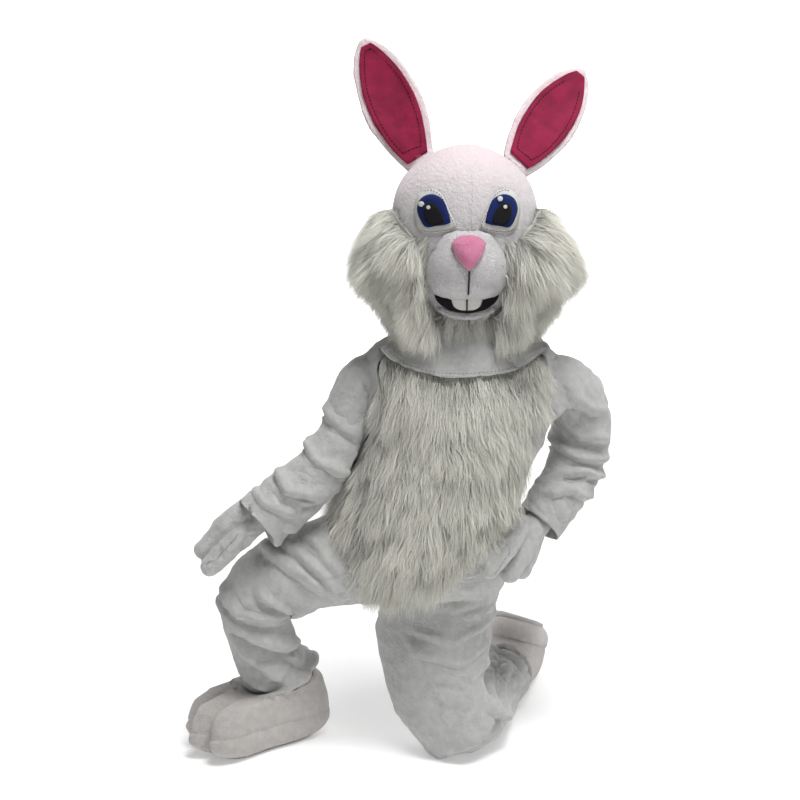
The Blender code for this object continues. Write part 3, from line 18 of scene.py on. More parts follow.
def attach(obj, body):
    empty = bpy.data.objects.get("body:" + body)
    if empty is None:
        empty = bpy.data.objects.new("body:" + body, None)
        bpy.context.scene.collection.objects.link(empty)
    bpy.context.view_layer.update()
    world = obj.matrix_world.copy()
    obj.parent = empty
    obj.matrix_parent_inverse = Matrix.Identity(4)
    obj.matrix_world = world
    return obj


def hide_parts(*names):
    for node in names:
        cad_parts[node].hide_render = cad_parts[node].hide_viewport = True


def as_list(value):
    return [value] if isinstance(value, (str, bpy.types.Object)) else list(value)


FLOOR_HEIGHT = -0.960
SIDES = ("left", "right")

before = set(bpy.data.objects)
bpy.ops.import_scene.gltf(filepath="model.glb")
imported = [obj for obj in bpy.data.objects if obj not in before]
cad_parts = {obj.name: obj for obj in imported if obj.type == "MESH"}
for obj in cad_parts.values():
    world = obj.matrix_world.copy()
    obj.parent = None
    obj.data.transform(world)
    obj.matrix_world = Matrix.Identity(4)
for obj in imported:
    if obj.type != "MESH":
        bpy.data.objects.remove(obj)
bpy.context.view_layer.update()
print("pieces in the frame:", len(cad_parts))

# %% [markdown]
# Numbers for cloth
#
# Creases and pile need randomness that is the same on every run and that
# passes over a seam without a step. Noise that depends on the place in space,
# and not on the mesh, does both. It is worked out for all points at once.


# %% Noise in space
def cloud(points, size, seed=0):
    """Value noise from -1 to 1: every corner of a lattice of cubes `size` wide
    holds a fixed random height, blended by the smooth step 3f^2 - 2f^3."""
    cell = np.asarray(points) / size + seed * 17.31
    base = np.floor(cell).astype(np.int64)
    part = cell - base
    part = part * part * (3 - 2 * part)
    total = np.zeros(len(cell))
    for corner in np.ndindex(2, 2, 2):
        key = (base + corner) @ np.array([73856093, 19349663, 83492791])
        key = (key ^ (key >> 13)) * 1274126177
        height = ((key ^ (key >> 16)) & 0xFFFF) / 65535
        total += height * np.prod(np.where(corner, part, 1 - part), axis=1)
    return total * 2 - 1


def unit(vectors):
    """Vectors made one long."""
    length = np.linalg.norm(vectors, axis=-1, keepdims=True)
    return vectors / np.maximum(length, 1e-12)


# %% [markdown]
# Meshes as arrays
#
# The frame's pieces are loose triangles. A copy is merged, its triangles are
# joined to quads, and subdivision rounds it. The rims at the seams are
# creased, so that two neighbours keep the same edge and no gap opens.


# %% Read and write a mesh
WELD = 2e-5  # points closer than this, in metres, are one point
SEAM_REACH = 6e-4  # points this close lie on the two sides of one seam
THIN_WALL = 0.009  # the cloth's walls at seams are narrower than this
FLAT_ENOUGH, SQUARE_ENOUGH = 0.9, 1.6  # radians, for joining two triangles
CREASED_FROM = math.radians(50)  # a sharper edge than this stays sharp


def read(rows, key, width=3):
    """One value of every row of mesh data, as an array."""
    flat = np.empty(len(rows) * width, dtype=np.float32)
    rows.foreach_get(key, flat)
    return flat.reshape(-1, width).astype(float)


def points_of(mesh):
    """All points of a mesh as one array."""
    return read(mesh.vertices, "co")


def normals_of(mesh):
    """The outward direction at every point of a mesh."""
    return read(mesh.vertex_normals, "vector")


def move_points(mesh, points):
    """Puts all points of a mesh in new places."""
    mesh.vertices.foreach_set("co", np.asarray(points, dtype=np.float32).ravel())
    mesh.update()


def placed(name, data):
    """A new object in the scene."""
    made = bpy.data.objects.new(name, data)
    bpy.context.scene.collection.objects.link(made)
    return made


def show(name, mesh, material):
    """A piece at the origin that rides on the costume's one body, with its
    material in the mesh's one slot."""
    mesh.materials.clear()
    mesh.materials.append(material)
    piece = placed(name, mesh)
    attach(piece, "root")
    return piece


def applied(mesh, kind, **settings):
    """The mesh that is left after one modifier."""
    rough = placed("rough", mesh)
    modifier = rough.modifiers.new(kind, kind)
    for key, value in settings.items():
        setattr(modifier, key, value)
    seen = rough.evaluated_get(bpy.context.evaluated_depsgraph_get())
    made = bpy.data.meshes.new_from_object(seen)
    bpy.data.objects.remove(rough)
    made.shade_smooth()
    return made


def sew(solid, thick):
    """Merges points across each seam's gap. An edge there has more than two
    faces; a face with two such edges that is no wider than the material is
    `thick` is a wall of the gap and drops out."""
    bmesh.ops.remove_doubles(solid, verts=solid.verts, dist=SEAM_REACH)
    crowded = {edge for edge in solid.edges if len(edge.link_faces) > 2}
    mark = solid.verts.layers.float.new("seam")
    for edge in crowded:
        for point in edge.verts:
            point[mark] = 1.0
    walls = [face for face in solid.faces if sum(edge in crowded for edge in face.edges) > 1
             and min(edge.calc_length() for edge in face.edges) < thick
             and all(point[mark] for point in face.verts)]
    bmesh.ops.delete(solid, geom=walls, context="FACES")


def rounded_copy(nodes, levels, thick):
    """One merged copy of solids of the frame, rounded by subdivision."""
    solid = bmesh.new()
    for node in nodes:
        solid.from_mesh(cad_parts[node].data)
    bmesh.ops.remove_doubles(solid, verts=solid.verts, dist=WELD)
    bmesh.ops.join_triangles(
        solid, faces=solid.faces,
        angle_face_threshold=FLAT_ENOUGH, angle_shape_threshold=SQUARE_ENOUGH,
    )
    if len(nodes) > 1:
        sew(solid, thick)
    sharp = solid.edges.layers.float.new("crease_edge")
    for edge in solid.edges:
        if edge.calc_face_angle(0) > CREASED_FROM:
            edge[sharp] = 1.0
    mesh = bpy.data.meshes.new(nodes[0])
    solid.to_mesh(mesh)
    solid.free()
    return applied(mesh, "SUBSURF", levels=levels, render_levels=levels)


def seam_of(mesh):
    """How near every point is to a seam: 1 on it, 0 a cell away."""
    layer = mesh.attributes.get("seam")
    if layer is None:
        return np.zeros(len(mesh.vertices))
    return read(layer.data, "value", 1)[:, 0]


# %% [markdown]
# Creases
#
# A crease runs along a line on the cloth. Its cross-section is a ridge with a
# hollow beside it, which is what bunched cloth does: what one fold takes up,
# the next gives back. Lines are given in X and Z, on the side of the costume
# that they show on.


# %% A crease along a line
def distance_to(line, flat):
    """For every point the distance to a line of short stretches, the signed
    side it lies on, and how far along the line it is, from 0 to 1."""
    line = np.asarray(line, float)
    nearest = np.full(len(flat), 9.0)
    side = np.zeros(len(flat))
    along = np.zeros(len(flat))
    for step, (start, end) in enumerate(zip(line[:-1], line[1:])):
        way = end - start
        t = np.clip((flat - start) @ way / (way @ way), 0, 1)
        off = flat - start - t[:, None] * way
        far = np.hypot(off[:, 0], off[:, 1])
        closer = far < nearest
        nearest = np.where(closer, far, nearest)
        side = np.where(closer, np.sign(way[0] * off[:, 1] - way[1] * off[:, 0]), side)
        along = np.where(closer, (step + t) / (len(line) - 1), along)
    return nearest, side, along


def crease(points, normals, line, width, height, facing=-1):
    """How far a fold lifts each point: a round ridge exp(-(d/w)^2) with a
    sharp valley exp(-2|d/w + 1.3|) beside it, dying out at the line's ends."""
    far, side, along = distance_to(line, points[:, [0, 2]])
    signed = far * side / width
    ridge = np.exp(-(signed**2)) - 0.85 * np.exp(-2 * np.abs(signed + 1.3))
    ends = np.clip(along * (1 - along) * 6, 0, 1) ** 0.7
    seen = np.clip(normals[:, 1] * facing * 2 + 0.6, 0, 1)
    return height * ridge * ends * seen


SLANT = np.array([[0.5, 0, 0.65], [0, 0.35, 0], [-0.25, 0, 0.65]])


def puckers(points, seed=41):
    """Small wrinkles: |noise| has a sharp valley where the noise passes zero.
    A slower noise chooses between level ones and ones turned by SLANT."""
    level = np.abs(cloud(points * (0.34, 0.34, 1.0), 0.020, seed))
    slanted = np.abs(cloud(points @ SLANT, 0.024, seed + 1))
    where = np.clip(0.6 + 0.9 * cloud(points, 0.13, seed + 2), 0, 1)
    return (level - 0.3) * where + (slanted - 0.3) * (1 - where)


def roll(points, at, way, reach, width, height):
    """A hem that bulges all round a limb: exp(-(d/w)^2) from a plane across."""
    way = np.array(way) / np.linalg.norm(way)
    along = (points - at) @ way
    off = np.linalg.norm(points - at - along[:, None] * way, axis=1)
    uneven = 1 + 0.35 * cloud(points, 0.04, 81)
    return height * uneven * np.exp(-((along / width) ** 2)) * (off < reach)


def swell(points, at, reach, height):
    """A bulge exp(-(d/r)^2) round one place."""
    return height * np.exp(-((np.linalg.norm(points - at, axis=1) / reach) ** 2))


def bunch(points, start, end, reach, rings, height, seed):
    """Cloth pushed together along a limb: rings |sin(pi n t)|^0.7 across its
    axis, round on top and sharp below, shifted and weakened by noise, within
    `reach` of the axis."""
    start, end = np.array(start), np.array(end)
    way = (end - start) / np.linalg.norm(end - start)
    along = (points - start) @ way
    off = np.linalg.norm(points - start - along[:, None] * way, axis=1)
    t = along / np.linalg.norm(end - start)
    shifted = t + 0.9 / rings * cloud(points, 0.075, seed)
    ridge = np.abs(np.sin(np.pi * rings * shifted)) ** 0.7 - 0.5
    window = np.clip(t * 6, 0, 1) * np.clip((1 - t) * 6, 0, 1)
    window = window * np.clip((reach - off) / 0.02, 0, 1)
    return height * ridge * window * (0.75 + 0.5 * cloud(points, 0.06, seed + 1))


# %% [markdown]
# Finishes
#
# Plush has no shine of its own, but its upright pile lights up at the edge:
# that is sheen. The pile shows as a fine bump, clumped by a coarser one, and
# the colour drifts a little where the pile leans another way.


# %% Plush, felt and velvet
def set_inputs(node, values):
    """Puts constant values on a node's own sockets."""
    for socket, value in values.items():
        node.inputs[socket].default_value = value


def new_material(name, colour, roughness, sheen=0.0, sheen_tint=(1, 1, 1)):
    """A cloth, the tree of its nodes and its shader."""
    material = bpy.data.materials.new(name)
    material.use_nodes = True
    shader = material.node_tree.nodes["Principled BSDF"]
    set_inputs(shader, {
        "Base Color": (*colour, 1), "Roughness": roughness, "Specular IOR Level": 0.25,
        "Sheen Weight": sheen, "Sheen Roughness": 0.45, "Sheen Tint": (*sheen_tint, 1),
    })
    return material, material.node_tree, shader


def noise_node(tree, scale, detail):
    """Noise on Object coordinates."""
    where = tree.nodes.new("ShaderNodeTexCoord")
    noise = tree.nodes.new("ShaderNodeTexNoise")
    set_inputs(noise, {"Scale": scale, "Detail": detail})
    tree.links.new(where.outputs["Object"], noise.inputs["Vector"])
    return noise.outputs["Fac"]


def mixed(tree, factor, first, second, low=0.35, high=0.65):
    """A colour between two, as a factor passes from `low` to `high`."""
    ramp = tree.nodes.new("ShaderNodeValToRGB")
    ramp.color_ramp.elements[0].position = low
    ramp.color_ramp.elements[0].color = (*first, 1)
    ramp.color_ramp.elements[1].position = high
    ramp.color_ramp.elements[1].color = (*second, 1)
    tree.links.new(factor, ramp.inputs["Fac"])
    return ramp.outputs["Color"]


def bump(tree, shader, layers):
    """Bumps laid over one another, each a height and its depth in metres."""
    normal = None
    for height, depth in layers:
        node = tree.nodes.new("ShaderNodeBump")
        set_inputs(node, {"Distance": depth, "Strength": 1.0})
        tree.links.new(height, node.inputs["Height"])
        if normal is not None:
            tree.links.new(normal, node.inputs["Normal"])
        normal = node.outputs["Normal"]
    tree.links.new(normal, shader.inputs["Normal"])


def shaded(colour, by):
    """A colour made darker or lighter."""
    return tuple(min(1.0, channel * by) for channel in colour)


def plush(name, colour, pile=520, clump=130, pile_depth=0.0018, clump_depth=0.0028):
    """Short upright pile: waves to the metre of the pile and of its clumps,
    and the depth of each in metres."""
    material, tree, shader = new_material(name, colour, 0.95, 0.35)
    patches = noise_node(tree, 60, 6)
    drift = mixed(tree, patches, shaded(colour, 0.92), shaded(colour, 1.05))
    tree.links.new(drift, shader.inputs["Base Color"])
    bump(tree, shader, [
        (noise_node(tree, clump, 3), clump_depth),
        (noise_node(tree, pile, 2), pile_depth),
    ])
    return material


def felt(name, colour):
    """Pressed fibres: matt, with a fine tangle and no pile."""
    material, tree, shader = new_material(name, colour, 0.9, 0.03)
    tangle = noise_node(tree, 700, 4)
    drift = mixed(tree, tangle, shaded(colour, 0.9), shaded(colour, 1.1))
    tree.links.new(drift, shader.inputs["Base Color"])
    bump(tree, shader, [(noise_node(tree, 1100, 3), 0.0004)])
    return material


SUIT_GREY = (0.54, 0.54, 0.53)
HEAD_WHITE = (0.66, 0.64, 0.645)
FUR_WHITE = (0.82, 0.81, 0.735)
FOOT_GREY = (0.54, 0.515, 0.495)
CRIMSON = (0.25, 0.008, 0.045)
NOSE_PINK = (0.66, 0.22, 0.36)
NAVY = (0.008, 0.018, 0.11)
FELT_WHITE, FELT_BLACK = (0.62, 0.62, 0.59), (0.006, 0.006, 0.008)
PAINTED_LIGHT_CROWN_PINK = (0.84, 0.71, 0.74)
CROWN_LIGHT_FROM, CROWN_LIGHT_TO = 0.26, 0.42  # heights between which the crown turns lighter and pinker: painted light from above

suit_plush = plush("suit_plush", SUIT_GREY)
glove_plush = plush("glove_plush", shaded(SUIT_GREY, 1.04))
foot_plush = plush("foot_plush", FOOT_GREY)
muzzle_plush = plush("muzzle_plush", HEAD_WHITE, 600, 240, 0.002, 0.0055)
nose_plush = plush("nose_plush", NOSE_PINK, 700, 200)
white_felt = felt("white_felt", FELT_WHITE)
blue_felt = felt("blue_felt", NAVY)
black_felt = felt("black_felt", FELT_BLACK)
sole_cloth = felt("sole_cloth", shaded(FOOT_GREY, 0.85))

# %% [markdown]
# The head's plush turns lighter and a faint pink towards the crown, by a
# gradient on the height: painted light where the lamp overhead falls on the
# top. The ear lining is crushed velvet: its pile lies both ways, in patches.


# %% Tinted head plush and velvet
def plush_painted_lighter_on_top(name, colour, lit_colour, low, high):
    """Plush whose colour turns, between two heights, to a lighter one given for
    the top: painted light from above. The Mix node's sockets 6 and 7 are its
    two colours, and its output 2 is their blend."""
    material = plush(name, colour)
    tree = material.node_tree
    shader = tree.nodes["Principled BSDF"]
    where = tree.nodes.new("ShaderNodeTexCoord")
    parts = tree.nodes.new("ShaderNodeSeparateXYZ")
    reach = tree.nodes.new("ShaderNodeMapRange")
    set_inputs(reach, {"From Min": low, "From Max": high})
    blend = tree.nodes.new("ShaderNodeMix")
    blend.data_type = "RGBA"
    tree.links.new(where.outputs["Object"], parts.inputs["Vector"])
    tree.links.new(parts.outputs["Z"], reach.inputs["Value"])
    tree.links.new(reach.outputs["Result"], blend.inputs["Factor"])
    plain = shader.inputs["Base Color"].links[0].from_socket
    tree.links.new(plain, blend.inputs[6])
    set_inputs(blend, {7: (*lit_colour, 1)})
    tree.links.new(blend.outputs[2], shader.inputs["Base Color"])
    return material


def velvet(name, colour):
    """Crushed velvet with lighter patches and a pink light at its edges."""
    material, tree, shader = new_material(name, colour, 0.75, 0.25, (1.0, 0.45, 0.6))
    crushed = noise_node(tree, 22, 5)
    lean = mixed(tree, crushed, shaded(colour, 0.88), shaded(colour, 1.15), 0.4, 0.62)
    tree.links.new(lean, shader.inputs["Base Color"])
    bump(tree, shader, [(crushed, 0.004), (noise_node(tree, 900, 2), 0.0006)])
    return material


# The crown's lighter pink is painted light, where the overhead lamp falls on the head.
head_plush = plush_painted_lighter_on_top("head_plush", HEAD_WHITE, PAINTED_LIGHT_CROWN_PINK, CROWN_LIGHT_FROM, CROWN_LIGHT_TO)
ear_velvet = velvet("ear_velvet", CRIMSON)

# %% [markdown]
# Plush over cloth and foam
#
# One function dresses a solid: round it, lift folds and the slow wobble of
# hand-sewn cloth along its normals, and let it stand for the solid.


# %% Dress a solid
LIFT_OFF_FLOOR = 0.0005


def dressed(nodes, material, levels, wobble, grain=0.07, folds=(), grow=0.0,
            groove=0.0, lifts=(), pucker=0.0, thick=THIN_WALL, keep=1.0):
    """A rounded copy of one or more solids, moved along its normals by noise
    `wobble` high and `grain` wide, by folds, other lifts, puckers and `grow`,
    and sunk by `groove` at its seams, whose walls are less than `thick`.
    `keep` is the share of its triangles that stays."""
    nodes = [nodes] if isinstance(nodes, str) else list(nodes)
    mesh = rounded_copy(nodes, levels, thick)
    points, normals = points_of(mesh), normals_of(mesh)
    lift = grow + wobble * cloud(points, grain, 3) + 0.4 * wobble * cloud(points, grain / 3, 5)
    for fold in folds:
        lift = lift + crease(points, normals, *fold)
    for kind, *numbers in lifts:
        lift = lift + kind(points, *numbers)
    lift = lift + pucker * puckers(points) - groove * np.clip(seam_of(mesh) * 4 - 3, 0, 1)
    points = points + normals * lift[:, None]
    points[:, 2] = np.maximum(points[:, 2], FLOOR_HEIGHT + LIFT_OFF_FLOOR)
    move_points(mesh, points)
    if keep < 1:
        mesh = applied(mesh, "DECIMATE", ratio=keep)
    piece = show(nodes[0] + "_cloth", mesh, material)
    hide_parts(*nodes)
    return piece


# %% [markdown]
# The suit
#
# Kneeling bunches the cloth where the body bends: behind the bent knee, over
# the ankle, across the thighs and round the cuffs. Each fold is a row: a line
# in X and Z, its width, its height and the side it faces.

# %% Folds of the suit
FRONT, BACK = -1, 1
RIGHT_LEG_FOLDS = [
    ([(-0.49, -0.46), (-0.40, -0.51), (-0.32, -0.565), (-0.26, -0.60)], 0.015, 0.013, FRONT),
    ([(-0.45, -0.45), (-0.37, -0.49), (-0.31, -0.54), (-0.27, -0.59)], 0.012, 0.010, FRONT),
    ([(-0.40, -0.42), (-0.33, -0.47), (-0.27, -0.54)], 0.013, 0.008, FRONT),
    ([(-0.56, -0.57), (-0.50, -0.626), (-0.45, -0.637), (-0.36, -0.632)], 0.013, 0.016, FRONT),
    ([(-0.47, -0.57), (-0.43, -0.60), (-0.38, -0.63), (-0.33, -0.635)], 0.010, 0.014, FRONT),
    ([(-0.57, -0.59), (-0.516, -0.65), (-0.46, -0.69), (-0.40, -0.72), (-0.32, -0.715)],
     0.016, 0.018, FRONT),
    ([(-0.52, -0.70), (-0.46, -0.75), (-0.42, -0.79), (-0.33, -0.82)], 0.015, 0.014, FRONT),
    ([(-0.40, -0.74), (-0.37, -0.78), (-0.34, -0.80)], 0.010, 0.010, FRONT),
    ([(-0.50, -0.78), (-0.44, -0.82), (-0.38, -0.815)], 0.009, 0.010, FRONT),
    ([(-0.50, -0.55), (-0.42, -0.62), (-0.30, -0.64)], 0.018, 0.012, BACK),
    ([(-0.50, -0.68), (-0.42, -0.75), (-0.32, -0.79)], 0.018, 0.012, BACK),
]
LEFT_LEG_FOLDS = [
    ([(-0.13, -0.66), (-0.02, -0.69), (0.10, -0.65)], 0.011, 0.006, FRONT),
    ([(-0.12, -0.71), (-0.01, -0.735), (0.10, -0.70)], 0.010, 0.006, FRONT),
    ([(-0.10, -0.755), (0.00, -0.775), (0.10, -0.74)], 0.010, 0.005, FRONT),
    ([(-0.08, -0.80), (0.00, -0.82), (0.08, -0.79)], 0.011, 0.004, FRONT),
    ([(-0.04, -0.93), (0.04, -0.89), (0.10, -0.80), (0.13, -0.74)], 0.012, 0.013, FRONT),
    ([(0.00, -0.945), (0.07, -0.90), (0.12, -0.83)], 0.009, 0.010, FRONT),
    ([(0.04, -0.755), (0.11, -0.785), (0.17, -0.825)], 0.009, 0.012, FRONT),
    ([(0.05, -0.80), (0.11, -0.83), (0.16, -0.88)], 0.009, 0.012, FRONT),
    ([(0.05, -0.84), (0.09, -0.88), (0.13, -0.93)], 0.008, 0.010, FRONT),
    ([(-0.10, -0.70), (0.00, -0.74), (0.10, -0.72)], 0.016, 0.010, BACK),
    ([(-0.08, -0.80), (0.02, -0.84), (0.12, -0.80)], 0.016, 0.010, BACK),
]
LEFT_SLEEVE_FOLDS = [
    ([(0.20, -0.17), (0.27, -0.24), (0.34, -0.25)], 0.012, 0.011, FRONT),
    ([(0.19, -0.25), (0.26, -0.29), (0.35, -0.30)], 0.012, 0.013, FRONT),
    ([(0.20, -0.33), (0.28, -0.32), (0.35, -0.35)], 0.010, 0.012, FRONT),
    ([(0.17, -0.37), (0.25, -0.36), (0.32, -0.40)], 0.010, 0.010, FRONT),
    ([(0.22, -0.10), (0.26, -0.16), (0.33, -0.19)], 0.014, 0.008, FRONT),
    ([(0.20, -0.24), (0.27, -0.29), (0.34, -0.29)], 0.014, 0.008, BACK),
]
RIGHT_SLEEVE_FOLDS = [
    ([(-0.34, -0.12), (-0.30, -0.19), (-0.22, -0.24)], 0.013, 0.010, FRONT),
    ([(-0.38, -0.21), (-0.33, -0.28), (-0.25, -0.32)], 0.012, 0.013, FRONT),
    ([(-0.44, -0.27), (-0.39, -0.34), (-0.30, -0.36)], 0.012, 0.013, FRONT),
    ([(-0.42, -0.33), (-0.36, -0.37), (-0.30, -0.37)], 0.009, 0.010, FRONT),
    ([(-0.49, -0.33), (-0.44, -0.37), (-0.37, -0.40)], 0.010, 0.008, FRONT),
    ([(-0.37, -0.20), (-0.33, -0.27), (-0.26, -0.31)], 0.014, 0.008, BACK),
]
TORSO_FOLDS = [
    ([(0.12, -0.12), (0.17, -0.22), (0.17, -0.34)], 0.016, 0.006, FRONT),
    ([(-0.12, -0.10), (-0.18, -0.20), (-0.20, -0.32)], 0.016, 0.006, FRONT),
    ([(-0.16, -0.10), (0.00, -0.16), (0.15, -0.10)], 0.022, 0.007, BACK),
    ([(-0.18, -0.34), (-0.04, -0.38), (0.12, -0.34)], 0.022, 0.008, BACK),
]

# %% [markdown]
# Cloth also piles up all round a limb. Each row is a kind of lift and its
# numbers: a bunch between two places, a rolled hem, or a swell at a full knee
# or over the right shoe.

# %% Bunches, rolled hems and full knees
SUIT_LIFTS = [
    (swell, (-0.475, -0.045, -0.800), 0.06, 0.018),
    (bunch, (0.050, 0.020, -0.886), (0.112, 0.178, -0.874), 0.10, 5, 0.012, 31),
    (bunch, (-0.452, -0.020, -0.755), (-0.404, 0.006, -0.838), 0.10, 3, 0.012, 33),
    (bunch, (-0.380, -0.090, -0.345), (-0.440, -0.110, -0.400), 0.11, 2, 0.005, 35),
    (bunch, (0.250, 0.010, -0.350), (0.200, -0.024, -0.415), 0.11, 2, 0.005, 37),
    (roll, (-0.422, 0.000, -0.813), (0.44, 0.24, -0.86), 0.11, 0.013, 0.020),
    (roll, (0.110, 0.162, -0.874), (0.39, 0.92, 0.05), 0.11, 0.012, 0.013),
    (swell, (0.010, -0.150, -0.900), 0.075, 0.014),
    (swell, (-0.050, -0.120, -0.890), 0.060, 0.010),
    (swell, (0.080, -0.090, -0.900), 0.060, 0.010),
    (swell, (-0.360, 0.030, -0.640), 0.050, 0.008),
]

# %% [markdown]
# The suit's panels, sleeves and legs are sewn into one skin, so that a fold
# can run over a seam. The placket gets the same folds as the panel under it.

# %% The suit's cloth
SUIT = [
    "front_panel_left", "front_panel_right", "back_panel_left", "back_panel_right",
    "sleeve_left", "sleeve_right", "leg_left", "leg_right",
]
SUIT_FOLDS = (
    TORSO_FOLDS + LEFT_SLEEVE_FOLDS + RIGHT_SLEEVE_FOLDS + LEFT_LEG_FOLDS + RIGHT_LEG_FOLDS
)
dressed(SUIT, suit_plush, 3, 0.003, 0.09, SUIT_FOLDS, groove=0.0015, lifts=SUIT_LIFTS,
        pucker=0.008, keep=0.44)
dressed("back_placket", suit_plush, 3, 0.003, 0.09, SUIT_FOLDS, grow=0.003, pucker=0.008)
bib = dressed("neck_bib", suit_plush, 3, 0.003, 0.06, pucker=0.006)

# %% [markdown]
# Gloves
#
# The gloves are thin plush that follows the fingers, three and a thumb.

# %% Gloves
# Chains through a gloved hand, each row a place and a radius in metres.
GLOVES = {
    "right": [
        [(-0.440, -0.100, -0.378, 0.032), (-0.490, -0.108, -0.404, 0.033),
         (-0.536, -0.116, -0.434, 0.028), (-0.552, -0.118, -0.450, 0.023)],
        [(-0.444, -0.104, -0.400, 0.034), (-0.474, -0.112, -0.426, 0.034),
         (-0.508, -0.120, -0.464, 0.028), (-0.522, -0.124, -0.480, 0.023)],
        [(-0.536, -0.114, -0.436, 0.025), (-0.562, -0.116, -0.464, 0.024),
         (-0.582, -0.118, -0.486, 0.023)],
        [(-0.512, -0.132, -0.464, 0.026), (-0.540, -0.142, -0.494, 0.025),
         (-0.564, -0.146, -0.516, 0.023)],
        [(-0.520, -0.098, -0.450, 0.021), (-0.552, -0.096, -0.486, 0.021),
         (-0.574, -0.096, -0.512, 0.019)],
        [(-0.472, -0.130, -0.424, 0.018), (-0.502, -0.148, -0.448, 0.017),
         (-0.524, -0.154, -0.472, 0.016)],
    ],
    "left": [
        [(0.196, -0.020, -0.415, 0.032), (0.174, -0.044, -0.436, 0.036),
         (0.152, -0.068, -0.454, 0.036), (0.130, -0.100, -0.488, 0.029)],
        [(0.152, -0.068, -0.458, 0.034), (0.130, -0.102, -0.496, 0.029),
         (0.103, -0.126, -0.536, 0.024)],
        [(0.128, -0.092, -0.436, 0.028), (0.092, -0.148, -0.474, 0.027),
         (0.055, -0.176, -0.512, 0.024)],
        [(0.098, -0.146, -0.452, 0.020), (0.062, -0.168, -0.472, 0.018),
         (0.040, -0.174, -0.488, 0.016)],
        [(0.166, -0.056, -0.466, 0.024), (0.150, -0.080, -0.512, 0.022),
         (0.134, -0.094, -0.540, 0.020)],
    ],
}
GLOVE_NODES = ("palm", "thumb", "finger_a", "finger_b", "finger_c")

BALL_STEP = 0.003  # metres between two balls on a chain
VOXEL, SMOOTHING = 0.0026, 5  # the remesh's grid in metres, and rounds of smoothing


def length_along(path):
    """The length of a path up to each of its points."""
    return np.concatenate([[0], np.cumsum(np.linalg.norm(np.diff(path, axis=0), axis=1))])


def melted(name, chains):
    """Balls strung along chains and melted into one skin: a voxel remesh keeps
    the outer skin, and smoothing rounds it without filling the gaps."""
    ball = bmesh.new()
    bmesh.ops.create_icosphere(ball, subdivisions=2, radius=1)
    shell = np.array([point.co for point in ball.verts])
    sides = np.array([[point.index for point in face.verts] for face in ball.faces])
    ball.free()
    rows = []
    for chain in chains:
        chain = np.array(chain)
        reach = length_along(chain[:, :3])
        at = np.linspace(0, reach[-1], int(reach[-1] / BALL_STEP) + 2)
        rows.append(np.stack([np.interp(at, reach, chain[:, k]) for k in range(4)], axis=1))
    rows = np.concatenate(rows)
    points = rows[:, None, :3] + shell[None] * rows[:, None, 3:]
    faces = sides[None] + (np.arange(len(rows)) * len(shell))[:, None, None]
    mesh = bpy.data.meshes.new(name)
    mesh.from_pydata(points.reshape(-1, 3), [], faces.reshape(-1, 3).tolist())
    skin = applied(mesh, "REMESH", mode="VOXEL", voxel_size=VOXEL)
    return applied(skin, "SMOOTH", factor=0.5, iterations=SMOOTHING)


gloves = []
for side, chains in GLOVES.items():
    mesh = melted(f"glove_{side}", chains)
    points, normals = points_of(mesh), normals_of(mesh)
    lift = 0.0012 * cloud(points, 0.020, 51) + 0.003 * puckers(points * 1.6, 61)
    move_points(mesh, points + normals * lift[:, None])
    glove = show(f"glove_{side}", mesh, glove_plush)
    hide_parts(*[f"{part}_{side}" for part in GLOVE_NODES])
    gloves.append(glove)

# %% [markdown]
# Feet
#
# The feet are plush over thick foam, so they hardly crease and their seams
# sink in. Each has a soft rim round the ankle. The left sole is domed, since
# it is off the floor and nothing presses it flat.

# %% Feet
FOOT_RIMS = {
    "left": (roll, (0.116, 0.178, -0.872), (0.39, 0.92, 0.05), 0.12, 0.014, 0.005),
    "right": (roll, (-0.418, 0.002, -0.824), (0.0, 0.0, 1.0), 0.12, 0.014, 0.006),
}
feet = [
    dressed(
        [f"foot_upper_{side}", f"foot_band_{side}"], foot_plush, 3, 0.002, 0.08,
        groove=0.003, lifts=[FOOT_RIMS[side]], keep=0.4,
    )
    for side in SIDES
]
DOME = [(swell, (0.10, 0.42, -0.80), 0.16, 0.010)]
dressed("sole_left", sole_cloth, 3, 0.0005, lifts=DOME)
dressed("sole_right", sole_cloth, 1, 0.0005)

# %% [markdown]
# Head, muzzle and ears
#
# The head's wall is foam under plush, so its seams are thicker than the
# suit's. The ears' roots are drawn towards the middle of the head, down to
# its plush.

# %% Head
FOAM_WALL = 0.025
EAR_ROOT, EAR_SUNK = 0.08, 0.020  # how much of an ear is drawn down, and by how much
HEAD_HEART = np.array([0.004, 0.0, 0.25])
head = dressed(
    ["head_front_left", "head_front_right", "head_back"], head_plush, 3, 0.0012, 0.05,
    groove=0.0012, thick=FOAM_WALL, keep=0.4,
)
ear_shells = [dressed(f"ear_{side}", head_plush, 2, 0.002, 0.03) for side in SIDES]
ear_linings = [dressed(f"ear_inner_{side}", ear_velvet, 2, 0.002, 0.05) for side in SIDES]
for shell, lining in zip(ear_shells, ear_linings):
    low = points_of(shell.data)[:, 2].min()
    for piece in (shell, lining):
        points = points_of(piece.data)
        rooted = np.clip(1 - (points[:, 2:] - low) / EAR_ROOT, 0, 1)
        points += unit(HEAD_HEART - points) * EAR_SUNK * rooted
        move_points(piece.data, points)
muzzle = dressed(
    ["muzzle_left", "muzzle_right"], muzzle_plush, 3, 0.0008, 0.012, groove=0.002
)
lip = dressed("lower_lip", muzzle_plush, 2, 0.0008, 0.012)
nose = dressed("nose", nose_plush, 2, 0.0004, 0.01)

# %% [markdown]
# The face's patches are felt. The mouth and the two teeth are cut tall, since
# the muzzle covers the upper part of each.

